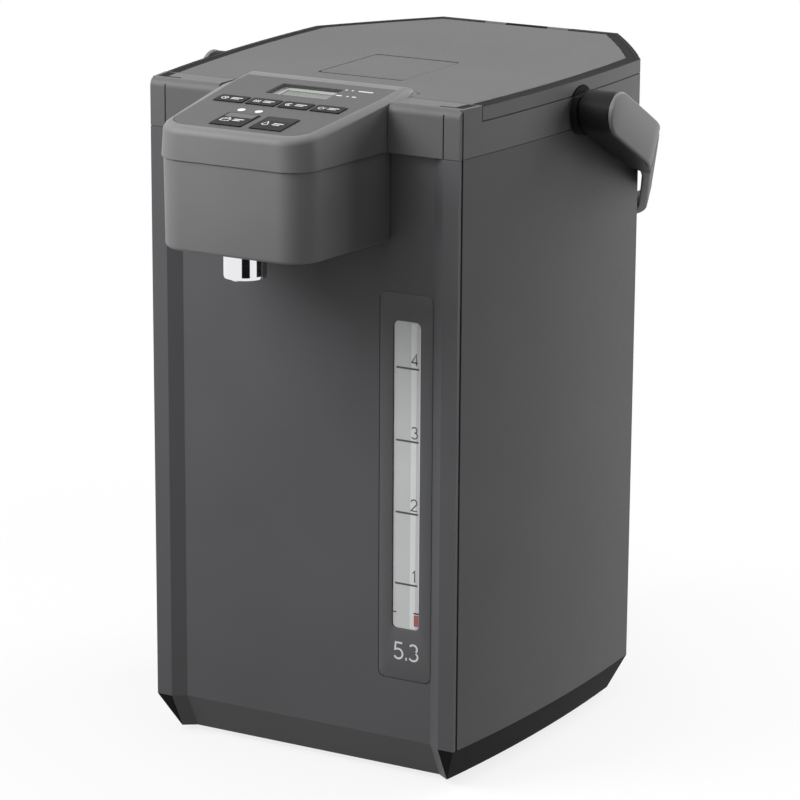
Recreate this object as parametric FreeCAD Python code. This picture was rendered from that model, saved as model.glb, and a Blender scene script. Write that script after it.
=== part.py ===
import FreeCAD, Part
import math
import os
from FreeCAD import Placement, Rotation, Vector

# Electric thermo pot of the 5 litre class: a pumped hot water dispenser.
# Millimetres, +Z up, +X to the pot's own left as seen from the front (viewer's right), front towards -Y.
# The origin lies on the resting plane, under the axis of the turning base.

os.makedirs("parts", exist_ok=True)

# Clearances
FIT = 0.3                # around seated pieces
RUN = 0.15               # radial, pins and turning shafts
PART_LINE = 0.6          # lid to top frame

# Body outline in plan
FRONT_Y = -135.0
FRONT_HALF = 97.75       # half width over the two front ridges
REAR_Y = 63.7
REAR_HALF = 108.5        # half width where the side meets the rear chamfer
MID_Y = -36.0
MID_HALF = REAR_HALF - 0.5   # half width at the middle of the curved side
BACK_Y = 135.0
BACK_HALF = 59.5
CHAMFER_BULGE = 1.2      # how far the rear chamfer bows out

# Levels
BASE_Z = 3.0             # underside of the base
BEVEL_Z = 24.5           # top of the bevelled skirt
TOP_Z = 387.0            # top of the lid
DECK_Z = TOP_Z - 9.0     # deck of the top frame, under the lid
SEAM_Z = DECK_Z - 18.0   # body to top frame
BEVEL_IN = 11.0          # how far the skirt draws in at the bottom

# Walls
WALL = 2.5               # moulded housings
SHEET = 1.5              # side shell

# Front panel between the ridges
RIDGE_IN = 88.0          # inner edge of a ridge
PANEL_HALF = 80.5        # half width of the flat panel
PANEL_DEEP = 5.0         # recess behind the ridges
GROOVE = 1.2             # open seam between ridge and side shell
LIP_DEEP = 6.5           # lip of the front panel behind the side shell

# Container
CAN_Y = 14.0
CAN_R = 88.0             # inner radius
CAN_WALL = 1.0
CAN_BEND = 6.0            # bevelled corner of the floor
CAN_FLOOR_Z = 71.0
FLANGE_Z = DECK_Z - 4.5  # top of the rolled flange
CAN_SHOULDER_Z = FLANGE_Z - 55.5
MOUTH_R = 77.0
FLANGE_R = 84.0
JACKET_GAP = 5.0         # vacuum space
INTAKE_R = 6.0

# Nose, the dispensing head
NOSE_FRONT_Y = FRONT_Y - 78.0
NOSE_FRONT_HALF = 47.0
NOSE_ROOT_HALF = 54.0
NOSE_REAR_Y = FRONT_Y + 34.0
NOSE_BOTTOM_Z = SEAM_Z - 49.5
NOSE_DRAFT = 6.0         # the lower cover leans back to its bottom
NOSE_CORNER = 18.0
NOSE_TOP_FRONT_Z = DECK_Z
NOSE_TOP_REAR_Z = NOSE_TOP_FRONT_Z + 13.5
NOSE_EDGE = 4.0          # rounding of the top edges
NOSE_STEP = 0.8          # the lower cover stands in from the upper housing

# Spout
SPOUT_Y = NOSE_FRONT_Y + 22.0
SPOUT_R = 11.5
SPOUT_BORE = 9.2
SPOUT_DROP = 14.0        # below the nose
SPOUT_SEAT = 12.0        # length held inside the nose
SPOUT_RIM = 0.8          # collar that rests on the floor of the nose
VALVE_R = 12.0
VALVE_TALL = 17.0

# Gauge
GAUGE_X0 = 48.5
GAUGE_X1 = 80.0
GAUGE_Z0 = 60.0
GAUGE_Z1 = SEAM_Z - 81.5
GAUGE_CORNER = 4.0
GAUGE_PROUD = 0.4
WINDOW_X0 = 56.0
WINDOW_X1 = 73.0
WINDOW_Z0 = 85.7
WINDOW_Z1 = GAUGE_Z1 - 17.5
WINDOW_CORNER = 3.0
TUBE_R = 5.5
TUBE_WALL = 1.2
TUBE_Y = FRONT_Y + 22.0

# Lid
LID_FRONT_Y = FRONT_Y + 20.0
LID_TRIM = 2.0           # grey side skirt
LID_BAND = 8.0           # outer edge to the top plate
LID_PLATE = 2.0
LID_CORE_Z = DECK_Z - 16.0       # underside of the plug in the mouth
PLUG_R = 73.0
INNER_LID_R = 71.0
INNER_LID_DEEP = 5.0
LEVER_HALF = 27.0
LEVER_FRONT_Y = NOSE_REAR_Y + 31.0
LEVER_REAR_Y = -5.5
LEVER_TAIL_GAP = 2.0
LEVER_PLATE = 2.6
LEVER_PIN_R = 1.5
LEVER_AXIS_Y = -10.0
LEVER_AXIS_Z = TOP_Z - 4.4
LEVER_NOSE_GAP = 2.5     # slot ahead of the lever for a fingertip
LATCH_HALF = 9.0
LATCH_FRONT_Y = NOSE_REAR_Y - 2.0
LATCH_REAR_Y = LEVER_FRONT_Y + 8.0
LATCH_TRAVEL = 4.0
LATCH_Z0 = TOP_Z - 7.4
LATCH_THICK = 2.4

# Lid hinge
HINGE_Y = BACK_Y - 3.0
HINGE_Z = TOP_Z - 4.5
HINGE_PIN_R = 2.0
KNUCKLE_R = 4.8
KNUCKLE_IN = 14.0
KNUCKLE_OUT = 28.0

# Handle
PIVOT_Y = -13.0
PIVOT_Z = TOP_Z - 18.0
HANDLE_TILT = 27.5       # degrees below the horizontal at rest
EAR_R = 14.0
EAR_X = REAR_HALF + 1.1
EAR_PLATE = 3.0
EAR_NECK_R = 11.0
ARM_IN_X = EAR_X + 8.4
ARM_OUT_X = ARM_IN_X + 16.5
CAP_THICK = 2.5
HANDLE_WIDE = 25.0
ARM_LONG = 46.0
BAIL_BEHIND = 18.76      # middle of the crossbar behind the back
BAIL_REACH = (BACK_Y - PIVOT_Y + BAIL_BEHIND) / math.cos(math.radians(HANDLE_TILT))
BAIL_HALF = 74.0
BLADE = 5.0
GRIP_THICK = 10.0
HANDLE_PIN_R = 4.0

# Works in the base
HEATER_R = 62.0
HEATER_THICK = 3.5
PUMP_X = 34.0
PUMP_Y = -38.0
PUMP_R = 24.0
PUMP_Z0 = 33.0
PUMP_Z1 = 54.0
PUMP_WALL = 2.5
MOTOR_R = 16.0
MOTOR_Z0 = 9.5
SHAFT_R = 1.6
PLATE_THICK = 3.0
PIPE_R = 5.0
PIPE_BORE = 3.6
PIPE_BEND = 14.0
INLET_Z = 52.0
INLET_WIDE = 46.0
INLET_TALL = 24.0
INLET_DEEP = 14.0
PIN_R = 2.0
PIN_X = 12.0
BOARD = 1.6

# Turning base
TURN_R = 86.0
TURN_THICK = 1.9
TURN_GAP = 0.3
FOOT_R = 8.0
FOOT_TALL = 1.2
FOOT_SINK = 0.4
HUB_R = 10.0

# Screws
SCREW_R = 1.75
SCREW_HEAD_R = 3.2


def box(x0, x1, y0, y1, z0, z1):
    return Part.makeBox(x1 - x0, y1 - y0, z1 - z0, Vector(x0, y0, z0))


def rod(radius, x, y, z0, z1):
    return Part.makeCylinder(radius, z1 - z0, Vector(x, y, z0))


def cross_rod(radius, x0, x1, y, z):
    return Part.makeCylinder(radius, x1 - x0, Vector(x0, y, z), Vector(1, 0, 0))


def polygon(points, z=0.0):
    ring = [Vector(x, y, z) for x, y in points]
    return Part.Face(Part.makePolygon(ring + ring[:1]))


def mirror_x(shape):
    return shape.mirror(Vector(0, 0, 0), Vector(1, 0, 0))


def both_sides(shape):
    return Part.makeCompound([shape, mirror_x(shape)])


def vertical_edges(shape, x=None, y=None, tolerance=0.6):
    found = []
    for edge in shape.Edges:
        first, last = edge.Vertexes[0].Point, edge.Vertexes[-1].Point
        if abs(first.x - last.x) + abs(first.y - last.y) > 0.01 or abs(first.z - last.z) < 0.01:
            continue
        if x is not None and abs(abs(first.x) - x) > tolerance:
            continue
        if y is not None and abs(first.y - y) > tolerance:
            continue
        found.append(edge)
    return found


def rounded_plate(x0, x1, y0, y1, z0, z1, corner):
    plate = box(x0, x1, y0, y1, z0, z1)
    return plate.makeFillet(corner, vertical_edges(plate))


def revolve(points, x, y):
    """A body of revolution about a vertical axis, from radius and height pairs."""
    ring = [Vector(x + r, y, z) for r, z in points]
    face = Part.Face(Part.makePolygon(ring + ring[:1]))
    return face.revolve(Vector(x, y, 0), Vector(0, 0, 1), 360)


def pipe(points, bend, outer, bore):
    return solid_pipe(points, bend, outer).cut(solid_pipe(points, bend, bore))


def solid_pipe(points, bend, radius):
    """Round bar: straight runs and bends of one radius, each run starting where the last bend ends."""
    corners = [Vector(*p) for p in points]
    pieces = []
    start = corners[0]
    for before, corner, after in zip(corners, corners[1:], corners[2:]):
        inward = (before - corner).normalize()
        onward = (after - corner).normalize()
        turn = math.pi - inward.getAngle(onward)
        back = bend * math.tan(turn / 2)
        enter = corner + inward * back
        hub = corner + (inward + onward).normalize() * (bend / math.cos(turn / 2))
        pieces.append(bar(start, enter, radius))
        disc = Part.Face(Part.Wire(Part.Circle(enter, inward, radius).toShape()))
        pieces.append(disc.revolve(hub, onward.cross(inward), math.degrees(turn)))
        start = corner + onward * back
    pieces.append(bar(start, corners[-1], radius))
    return pieces[0].fuse(pieces[1:])


def bar(start, end, radius):
    run = end - start
    return Part.makeCylinder(radius, run.Length, start, run)


def outline(inset=0.0, z=0.0):
    """Plan of the body: flat front, bowed sides, two rear chamfers and a flat back."""
    side = Part.Arc(Vector(FRONT_HALF, FRONT_Y, z), Vector(MID_HALF, MID_Y, z), Vector(REAR_HALF, REAR_Y, z))
    run_x, run_y = BACK_HALF - REAR_HALF, BACK_Y - REAR_Y
    run = math.hypot(run_x, run_y)
    bow_x = (REAR_HALF + BACK_HALF) / 2 + CHAMFER_BULGE * run_y / run
    bow_y = (REAR_Y + BACK_Y) / 2 - CHAMFER_BULGE * run_x / run
    chamfer = Part.Arc(Vector(REAR_HALF, REAR_Y, z), Vector(bow_x, bow_y, z), Vector(BACK_HALF, BACK_Y, z))
    back = Part.LineSegment(Vector(BACK_HALF, BACK_Y, z), Vector(-BACK_HALF, BACK_Y, z))
    front = Part.LineSegment(Vector(-FRONT_HALF, FRONT_Y, z), Vector(FRONT_HALF, FRONT_Y, z))
    right = [side.toShape(), chamfer.toShape()]
    left = [mirror_x(edge) for edge in right]
    wire = Part.Wire(Part.__sortEdges__(right + left + [back.toShape(), front.toShape()]))
    face = Part.Face(wire)
    return face.makeOffset2D(-inset, 2) if inset else face


def body_prism(inset, z0, z1):
    return outline(inset, z0).extrude(Vector(0, 0, z1 - z0))


def bevel_block(inset, z0, z1):
    """The skirt's form: the outline drawn in towards the bottom, between two levels."""
    def drawn_in(z):
        return inset + BEVEL_IN * (BEVEL_Z - z) / (BEVEL_Z - BASE_Z)
    wires = [outline(drawn_in(z), z).OuterWire for z in (z0, z1)]
    return Part.makeLoft(wires, True, True)


# Front panel with its two ridges
def panel_profile(grow=0.0):
    """Centre of the front: flat panel and slanted recess walls, one wall thick."""
    front = FRONT_Y + PANEL_DEEP
    half = [(RIDGE_IN - grow, FRONT_Y), (PANEL_HALF - grow, front)]
    rear = [(PANEL_HALF - 1, front + WALL), (RIDGE_IN - 1, FRONT_Y + WALL)]
    points = half + [(-x, y) for x, y in reversed(half)]
    return points + [(-x, y) for x, y in reversed(rear)] + rear


def front_panel():
    front = FRONT_Y + PANEL_DEEP
    side_x = FRONT_HALF + 0.15
    lip_x = side_x - SHEET - 1.0
    right = [
        (side_x, FRONT_Y + WALL), (lip_x, FRONT_Y + WALL), (lip_x, FRONT_Y + WALL + LIP_DEEP),
        (lip_x - 2, FRONT_Y + WALL + LIP_DEEP), (lip_x - 2, FRONT_Y + WALL), (RIDGE_IN - 1, FRONT_Y + WALL),
        (PANEL_HALF - 1, front + WALL),
    ]
    face = [(FRONT_HALF, FRONT_Y), (RIDGE_IN, FRONT_Y), (PANEL_HALF, front)]
    points = face + [(-x, y) for x, y in reversed(face)]
    points += [(-x, y) for x, y in right] + right[::-1]
    upper = polygon(points, BEVEL_Z).extrude(Vector(0, 0, SEAM_Z - FIT - BEVEL_Z))
    lower = polygon(panel_profile(), BEVEL_Z).extrude(Vector(0, BEVEL_IN, BASE_Z - BEVEL_Z))
    solid = upper.fuse(lower).removeSplitter()
    solid = solid.cut(gauge_block(FIT, FRONT_Y - 1, FRONT_Y + 20))
    pass_z = NOSE_BOTTOM_Z + 12
    solid = solid.cut(rounded_slot(-30, 30, pass_z, SEAM_Z + 5))
    return solid


def rounded_slot(x0, x1, z0, z1):
    return box(x0, x1, FRONT_Y, FRONT_Y + 20, z0, z1)


def gauge_block(gap, y0, y1):
    """Rounded upright block for the gauge frame or the hole that takes it."""
    return upright_plate(GAUGE_X0 - gap, GAUGE_X1 + gap, GAUGE_Z0 - gap, GAUGE_Z1 + gap, y0, y1, GAUGE_CORNER)


def upright_plate(x0, x1, z0, z1, y0, y1, corner):
    plate = box(x0, x1, y0, y1, z0, z1)
    edges = []
    for edge in plate.Edges:
        first, last = edge.Vertexes[0].Point, edge.Vertexes[-1].Point
        if abs(first.y - last.y) > 0.01:
            edges.append(edge)
    return plate.makeFillet(corner, edges)


def side_shell():
    shell = body_prism(0, BEVEL_Z, SEAM_Z - FIT).cut(body_prism(SHEET, BEVEL_Z - 1, SEAM_Z + 1))
    shell = shell.cut(box(-200, 200, -200, FRONT_Y + WALL + GROOVE, 0, 500))
    half = INLET_WIDE / 2 + FIT
    tall = INLET_TALL / 2 + FIT
    return shell.cut(box(-half, half, BACK_Y - 10, BACK_Y + 10, INLET_Z - tall, INLET_Z + tall))


def base_skirt():
    skirt = bevel_block(0, BASE_Z, BEVEL_Z - FIT).cut(bevel_block(WALL, BASE_Z - 0.01, BEVEL_Z - FIT + 0.01))
    ledge = body_prism(SHEET + FIT, BEVEL_Z - 4, BEVEL_Z + 5).cut(body_prism(SHEET + FIT + 2, 0, 60))
    ledge = ledge.cut(box(-200, 200, -200, FRONT_Y + 12, 0, 500))
    ledge = ledge.common(bevel_block(WALL / 2, BEVEL_Z - 4, BEVEL_Z + 6))
    reach = 9.0
    gap_points = [
        (RIDGE_IN + FIT, FRONT_Y - reach), (RIDGE_IN + FIT, FRONT_Y + WALL + FIT),
        (PANEL_HALF + FIT, FRONT_Y + PANEL_DEEP + WALL + FIT),
    ]
    gap = polygon(gap_points + [(-x, y) for x, y in reversed(gap_points)], BEVEL_Z + 1)
    slope = BEVEL_IN / (BEVEL_Z - BASE_Z)
    drop = BEVEL_Z + 1 - BASE_Z + 1
    gap.translate(Vector(0, -slope, 0))
    return skirt.fuse(ledge).removeSplitter().cut(gap.extrude(Vector(0, slope * drop, -drop)))


# Top frame
def nose_plan(z, grow=0.0, rear=NOSE_REAR_Y):
    front = NOSE_FRONT_Y - grow
    taper = (NOSE_ROOT_HALF - NOSE_FRONT_HALF) / (FRONT_Y + PANEL_DEEP - NOSE_FRONT_Y)
    def half(y):
        return NOSE_FRONT_HALF + grow + taper * (min(y, FRONT_Y + PANEL_DEEP) - NOSE_FRONT_Y)
    root = FRONT_Y + PANEL_DEEP
    points = [(half(front), front), (half(root), root)]
    if rear > root:
        points.append((half(root), rear + grow))
    return polygon(points + [(-x, y) for x, y in reversed(points)], z)


def nose_block(z0, z1, grow=0.0, rear=NOSE_REAR_Y, corner=NOSE_CORNER):
    block = nose_plan(z0, grow, rear).extrude(Vector(0, 0, z1 - z0))
    return block.makeFillet(corner, vertical_edges(block, y=NOSE_FRONT_Y - grow))


def slope_angle():
    return math.degrees(math.atan2(NOSE_TOP_REAR_Z - NOSE_TOP_FRONT_Z, NOSE_REAR_Y - NOSE_FRONT_Y))


def on_slope(shape):
    """Carries a shape from the panel's own plane (x, distance up the slope, height) to the pot."""
    moved = shape.copy()
    turn = Rotation(Vector(1, 0, 0), slope_angle())
    moved.Placement = Placement(Vector(0, NOSE_FRONT_Y, NOSE_TOP_FRONT_Z), turn)
    return moved


def above_slope(lift=0.0):
    return on_slope(box(-150, 150, -50, 200, lift, 60))


def top_frame():
    outer = body_prism(0, SEAM_Z, TOP_Z)
    front_top = [
        edge for edge in outer.Edges
        if all(abs(v.Y - FRONT_Y) < 0.01 and abs(v.Z - TOP_Z) < 0.01 for v in edge.Vertexes)
    ]
    outer = outer.makeFillet(5.0, front_top)
    outer = outer.cut(box(-200, 200, LID_FRONT_Y, 300, DECK_Z, TOP_Z + 10))
    inner = body_prism(WALL, SEAM_Z - 1, DECK_Z - WALL)
    front_room = body_prism(WALL, SEAM_Z - 1, TOP_Z - WALL)
    front_room = front_room.common(box(-200, 200, -200, LID_FRONT_Y - WALL, 0, 500))
    frame = outer.cut(inner).cut(front_room)
    frame = frame.cut(rod(MOUTH_R + 1.5, 0, CAN_Y, SEAM_Z, TOP_Z))
    frame = frame.cut(nose_block(SEAM_Z - 1, TOP_Z + 10, FIT, LID_FRONT_Y - WALL - FIT, NOSE_CORNER))
    frame = frame.cut(nose_block(DECK_Z, TOP_Z + 10, FIT, NOSE_REAR_Y, NOSE_CORNER))
    groove_y = FRONT_Y + WALL
    for side in (-1, 1):
        seam = box(FRONT_HALF - 1.2, FRONT_HALF + 3, groove_y, groove_y + GROOVE, SEAM_Z - 1, TOP_Z + 1)
        line = box(RIDGE_IN - 0.4, RIDGE_IN + 0.4, FRONT_Y - 1, FRONT_Y + 0.9, SEAM_Z - 1, TOP_Z - 3)
        trim = trim_cap(FIT / 3)
        hole = cross_rod(6.0 + RUN, REAR_HALF - 10, REAR_HALF + 5, PIVOT_Y, PIVOT_Z)
        for cutter in (seam, line, trim, hole):
            frame = frame.cut(cutter if side > 0 else mirror_x(cutter))
    for side in (-1, 1):
        lug = box(KNUCKLE_IN, KNUCKLE_OUT, HINGE_Y - 3.5, BACK_Y - 0.2, DECK_Z - 1, HINGE_Z)
        lug = lug.fuse(cross_rod(KNUCKLE_R, KNUCKLE_IN, KNUCKLE_OUT, HINGE_Y, HINGE_Z))
        lug = lug.cut(cross_rod(HINGE_PIN_R + 0.05, 0, 60, HINGE_Y, HINGE_Z))
        frame = frame.fuse(lug if side > 0 else mirror_x(lug))
    trench = cross_rod(KNUCKLE_R + PART_LINE, -KNUCKLE_IN + RUN, KNUCKLE_IN - RUN, HINGE_Y, HINGE_Z)
    return frame.cut(trench).removeSplitter()


def trim_cap(gap=0.0):
    """Dark inlay on the top of a front corner, in line with the lid's dark band."""
    sole = TOP_Z - 1.0 - gap
    plan = body_prism(LID_TRIM - gap, sole, TOP_Z - 0.1 + gap).cut(body_prism(LID_BAND + gap, sole - 1, TOP_Z + 1))
    return plan.common(box(RIDGE_IN - 6 - gap, 200, FRONT_Y + 6 - gap, LID_FRONT_Y - 0.8 + gap, 0, 500))


# Nose
def nose_upper():
    outer = nose_block(SEAM_Z + FIT, NOSE_TOP_REAR_Z + 5).cut(above_slope())
    top = []
    for edge in outer.Edges:
        points = [v.Point for v in edge.Vertexes]
        lowest = min(p.z for p in points)
        if lowest > NOSE_TOP_FRONT_Z - 1 and not all(abs(p.y - NOSE_REAR_Y) < 0.01 for p in points):
            top.append(edge)
    outer = outer.makeFillet(NOSE_EDGE, top)
    room = nose_block(SEAM_Z - 1, NOSE_TOP_REAR_Z + 5, -WALL, NOSE_REAR_Y, NOSE_CORNER - WALL)
    room = room.cut(above_slope(-4.0))
    shell = outer.cut(room)
    over_deck = box(-100, 100, LID_FRONT_Y - WALL - FIT, NOSE_REAR_Y + 5, SEAM_Z - 5, DECK_Z + FIT)
    catch = box(-LATCH_HALF - FIT, LATCH_HALF + FIT, NOSE_REAR_Y - WALL - 1, NOSE_REAR_Y + 1, LATCH_Z0 - FIT,
                LATCH_Z0 + LATCH_THICK + FIT)
    shell = shell.cut(over_deck).cut(panel_recess()).cut(catch)
    for cutter in panel_holes(0.4):
        shell = shell.cut(cutter)
    return shell


def leaning_block(grow, z0, rear):
    """Lower nose: straight sides, a front that leans back downwards and rounded front corners."""
    block = nose_plan(z0, grow, rear).extrude(Vector(0, 0, SEAM_Z - z0))
    front = NOSE_FRONT_Y - grow
    lean = math.degrees(math.atan2(NOSE_DRAFT, SEAM_Z - NOSE_BOTTOM_Z))
    ahead = Part.makeBox(300, 100, 300, Vector(-150, front - 100, SEAM_Z - 250))
    ahead.rotate(Vector(0, front, SEAM_Z), Vector(1, 0, 0), lean)
    block = block.cut(ahead)
    corners = []
    for edge in block.Edges:
        first, last = edge.Vertexes[0].Point, edge.Vertexes[-1].Point
        if abs(first.z - last.z) > 10 and max(first.y, last.y) < FRONT_Y - 20:
            corners.append(edge)
    return block.makeFillet(NOSE_CORNER + grow, corners)


def nose_lower():
    rear = FRONT_Y + PANEL_DEEP - FIT
    outer = leaning_block(-NOSE_STEP, NOSE_BOTTOM_Z, rear)
    under = []
    for edge in outer.Edges:
        points = [v.Point for v in edge.Vertexes]
        if max(p.z for p in points) < NOSE_BOTTOM_Z + 0.01 and min(p.y for p in points) < rear - 0.5:
            under.append(edge)
    outer = outer.makeFillet(2.0, under)
    room = leaning_block(-NOSE_STEP - WALL, NOSE_BOTTOM_Z + WALL, rear)
    back_opening = box(-NOSE_ROOT_HALF + 5, NOSE_ROOT_HALF - 5, rear - 8, rear + 5, NOSE_BOTTOM_Z + WALL, SEAM_Z + 5)
    cover = outer.cut(room).cut(back_opening)
    return cover.cut(rod(SPOUT_R + RUN, 0, SPOUT_Y, NOSE_BOTTOM_Z - 5, NOSE_BOTTOM_Z + 10))


# Control panel, in its own plane: x, distance up the slope from the front, height
PANEL_V0 = 7.0
PANEL_V1 = 107.0
PANEL_SIDE = 5.0         # margin to the side of the nose
PANEL_SHEET = 0.8
KEY_SMALL = (18.0, 10.5)
KEY_LARGE = (19.5, 21.0)
SMALL_V = 56.0
SMALL_STEP = 20.2
LARGE_V = 23.0
KEY_TRAVEL = 0.8
KEY_PROUD = 0.5
KEY_STEM = 2.2
SMALL_KEYS = ("key_timer", "key_warm", "key_saving", "key_reboil")
LARGE_KEYS = {"key_unlock": -8.3, "key_pour": 16.3}
LCD_X = 0.0
LCD_V = 82.0
LCD_SIZE = (38.0, 19.0)
LAMP_V = 40.0
LAMP_X = (-14.5, -3.6)
LAMP_R = 2.2
SHELF = 4.0              # thickness of the nose's top under the panel


def key_plan(centre, size, z0, z1, grow=0.0, corner=1.2):
    x, v = centre
    wide, long = size
    return rounded_plate(
        x - wide / 2 - grow, x + wide / 2 + grow, v - long / 2 - grow, v + long / 2 + grow, z0, z1, corner)


def all_keys():
    keys = []
    for place, name in enumerate(SMALL_KEYS):
        keys.append((name, ((place - (len(SMALL_KEYS) - 1) / 2) * SMALL_STEP, SMALL_V), KEY_SMALL))
    return keys + [(name, (x, LARGE_V), KEY_LARGE) for name, x in LARGE_KEYS.items()]


def panel_plate(gap, z0, z1):
    v0, v1 = PANEL_V0 - gap, PANEL_V1 + gap
    front = NOSE_FRONT_HALF - PANEL_SIDE + gap
    rear = NOSE_ROOT_HALF - PANEL_SIDE + gap
    bend = FRONT_Y + PANEL_DEEP - NOSE_FRONT_Y
    points = [(front, v0), (rear, bend), (rear, v1)]
    plate = polygon(points + [(-x, y) for x, y in reversed(points)], z0).extrude(Vector(0, 0, z1 - z0))
    return plate.makeFillet(NOSE_CORNER - PANEL_SIDE, vertical_edges(plate, y=v0))


def panel_recess():
    return on_slope(panel_plate(0.1, -PANEL_SHEET, 5))


def panel_holes(gap):
    """Key wells, display opening and lamp holes through the top of the nose."""
    holes = [key_plan(centre, size, -20, 5, gap) for name, centre, size in all_keys()]
    holes.append(key_plan((LCD_X, LCD_V), LCD_SIZE, -20, 5, gap))
    for x in LAMP_X:
        holes.append(rod(LAMP_R + gap / 2, x, LAMP_V, -20, 5))
    return [on_slope(hole) for hole in holes]


def panel_sheet():
    sheet = on_slope(panel_plate(0.0, -PANEL_SHEET, 0.0))
    for cutter in panel_holes(0.3):
        sheet = sheet.cut(cutter)
    return sheet


def key(centre, size):
    cap = key_plan(centre, size, -SHELF + 0.4, KEY_PROUD)
    flange = key_plan(centre, size, -SHELF - 2.4, -SHELF - KEY_TRAVEL - 0.2, 1.0)
    neck = key_plan(centre, size, -SHELF - KEY_TRAVEL - 0.3, -SHELF + 0.5)
    stem = rod(KEY_STEM, centre[0], centre[1], -SHELF - 3.8, -SHELF - 2.3)
    return on_slope(cap.fuse([flange, neck, stem]).removeSplitter())


def control_board():
    z1 = -SHELF - 3.8 - KEY_TRAVEL - 1.2
    board = box(-40, 40, 12, 90, z1 - BOARD, z1)
    switches = [rod(3.0, c[0], c[1], z1, z1 + 1.0) for name, c, size in all_keys()]
    posts = [rod(3.0, side * 34, v, z1, -SHELF) for side in (-1, 1) for v in (43, 86)]
    return on_slope(board.fuse(switches).removeSplitter()), [on_slope(post) for post in posts]


def lcd_module():
    z1 = -2.2
    body = key_plan((LCD_X, LCD_V), LCD_SIZE, -SHELF - 3.0, z1)
    flange = box(LCD_X - 24, LCD_X + 24, LCD_V - 12, LCD_V + 12, -SHELF - 5.0, -SHELF)
    keepout = [key_plan(c, s, -30, 10, 2.0) for name, c, s in all_keys()]
    return on_slope(body.fuse(flange.cut(keepout[0].fuse(keepout[1:]))).removeSplitter())


def lcd_window():
    pane = key_plan((LCD_X, LCD_V), LCD_SIZE, -2.0, 0.0)
    return on_slope(pane)


def lamp_lenses():
    return Part.makeCompound([on_slope(rod(LAMP_R, x, LAMP_V, -SHELF, 0.2)) for x in LAMP_X])


# Spout and its valve
def spout_nozzle():
    bottom = NOSE_BOTTOM_Z - SPOUT_DROP
    top = NOSE_BOTTOM_Z + SPOUT_SEAT
    points = [
        (SPOUT_BORE, bottom), (SPOUT_R - 1.0, bottom), (SPOUT_R - 0.4, bottom + 0.8), (SPOUT_R, NOSE_BOTTOM_Z),
        (SPOUT_R, NOSE_BOTTOM_Z + WALL), (SPOUT_R + SPOUT_RIM, NOSE_BOTTOM_Z + WALL),
        (SPOUT_R + SPOUT_RIM, NOSE_BOTTOM_Z + WALL + 2), (SPOUT_R, NOSE_BOTTOM_Z + WALL + 2),
        (SPOUT_R, top), (SPOUT_BORE, top),
    ]
    return revolve(points, 0, SPOUT_Y)


def valve_z():
    return NOSE_BOTTOM_Z + SPOUT_SEAT + FIT


def tip_valve():
    """Stop valve that closes when the pot falls over, with the inner nozzle that the water leaves by."""
    z0 = valve_z()
    z1 = z0 + VALVE_TALL
    tip_z = NOSE_BOTTOM_Z - SPOUT_DROP + 3
    points = [
        (5.5, tip_z), (7.0, tip_z), (7.5, z0 - 4), (SPOUT_BORE - RUN, z0 - 4), (SPOUT_BORE - RUN, z0),
        (VALVE_R, z0), (VALVE_R, z1 - 2), (VALVE_R - 2, z1), (0, z1), (0, z1 - 2), (VALVE_R - 2.2, z1 - 2),
        (VALVE_R - 2.2, z0 + 4), (5.5, z0 + 2),
    ]
    body = revolve(points, 0, SPOUT_Y)
    level = z0 + VALVE_TALL / 2 + 2
    hole = Part.makeCylinder(PIPE_R + RUN, 20, Vector(0, SPOUT_Y, level), Vector(0, 1, 0))
    return body.cut(hole)


# Gauge
def gauge_frame():
    y0 = FRONT_Y + PANEL_DEEP - GAUGE_PROUD
    frame = gauge_block(0, y0, FRONT_Y + PANEL_DEEP + WALL)
    flange = upright_plate(
        GAUGE_X0 - 3, GAUGE_X1 - 0.5, GAUGE_Z0 - 3, GAUGE_Z1 + 3, FRONT_Y + PANEL_DEEP + WALL,
        FRONT_Y + PANEL_DEEP + WALL + 1.5, GAUGE_CORNER)
    hole = upright_plate(WINDOW_X0, WINDOW_X1, WINDOW_Z0, WINDOW_Z1, y0 - 5, TUBE_Y, WINDOW_CORNER)
    return frame.fuse(flange).removeSplitter().cut(hole)


def gauge_window():
    y0 = FRONT_Y + PANEL_DEEP - GAUGE_PROUD + 0.8
    pane = upright_plate(
        WINDOW_X0 + 0.1, WINDOW_X1 - 0.1, WINDOW_Z0 + 0.1, WINDOW_Z1 - 0.1, y0, y0 + 2.0, WINDOW_CORNER - 0.1)
    return pane


def tube_x():
    return (WINDOW_X0 + WINDOW_X1) / 2


def gauge_backing():
    """Pale trough behind the glass tube, clipped to the gauge frame."""
    y0 = FRONT_Y + PANEL_DEEP + WALL + 1.5
    y1 = TUBE_Y + TUBE_R + 4
    block = box(WINDOW_X0 - 3, WINDOW_X1 + 3, y0, y1, WINDOW_Z0 - 6, WINDOW_Z1 + 6)
    room = box(WINDOW_X0 - 0.5, WINDOW_X1 + 0.5, y0 - 1, y1 - 2, WINDOW_Z0 - 3.5, WINDOW_Z1 + 3.5)
    hole = rod(TUBE_R + RUN, tube_x(), TUBE_Y, WINDOW_Z0 - 20, WINDOW_Z1 + 20)
    return block.cut(room).cut(hole)


def gauge_tube():
    tube = rod(TUBE_R, tube_x(), TUBE_Y, WINDOW_Z0 - 14, WINDOW_Z1 + 14)
    return tube.cut(rod(TUBE_R - TUBE_WALL, tube_x(), TUBE_Y, 0, 500))


def tube_seals():
    """Silicone sleeves at both ends of the glass tube."""
    solids = []
    for z in (WINDOW_Z0 - 14 - 6, WINDOW_Z1 + 14 - 6):
        sleeve = rod(TUBE_R + 2.2, tube_x(), TUBE_Y, z, z + 12)
        solids.append(sleeve.cut(rod(TUBE_R + 0.05, tube_x(), TUBE_Y, z - 1, z + 13)))
    return Part.makeCompound(solids)


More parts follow.
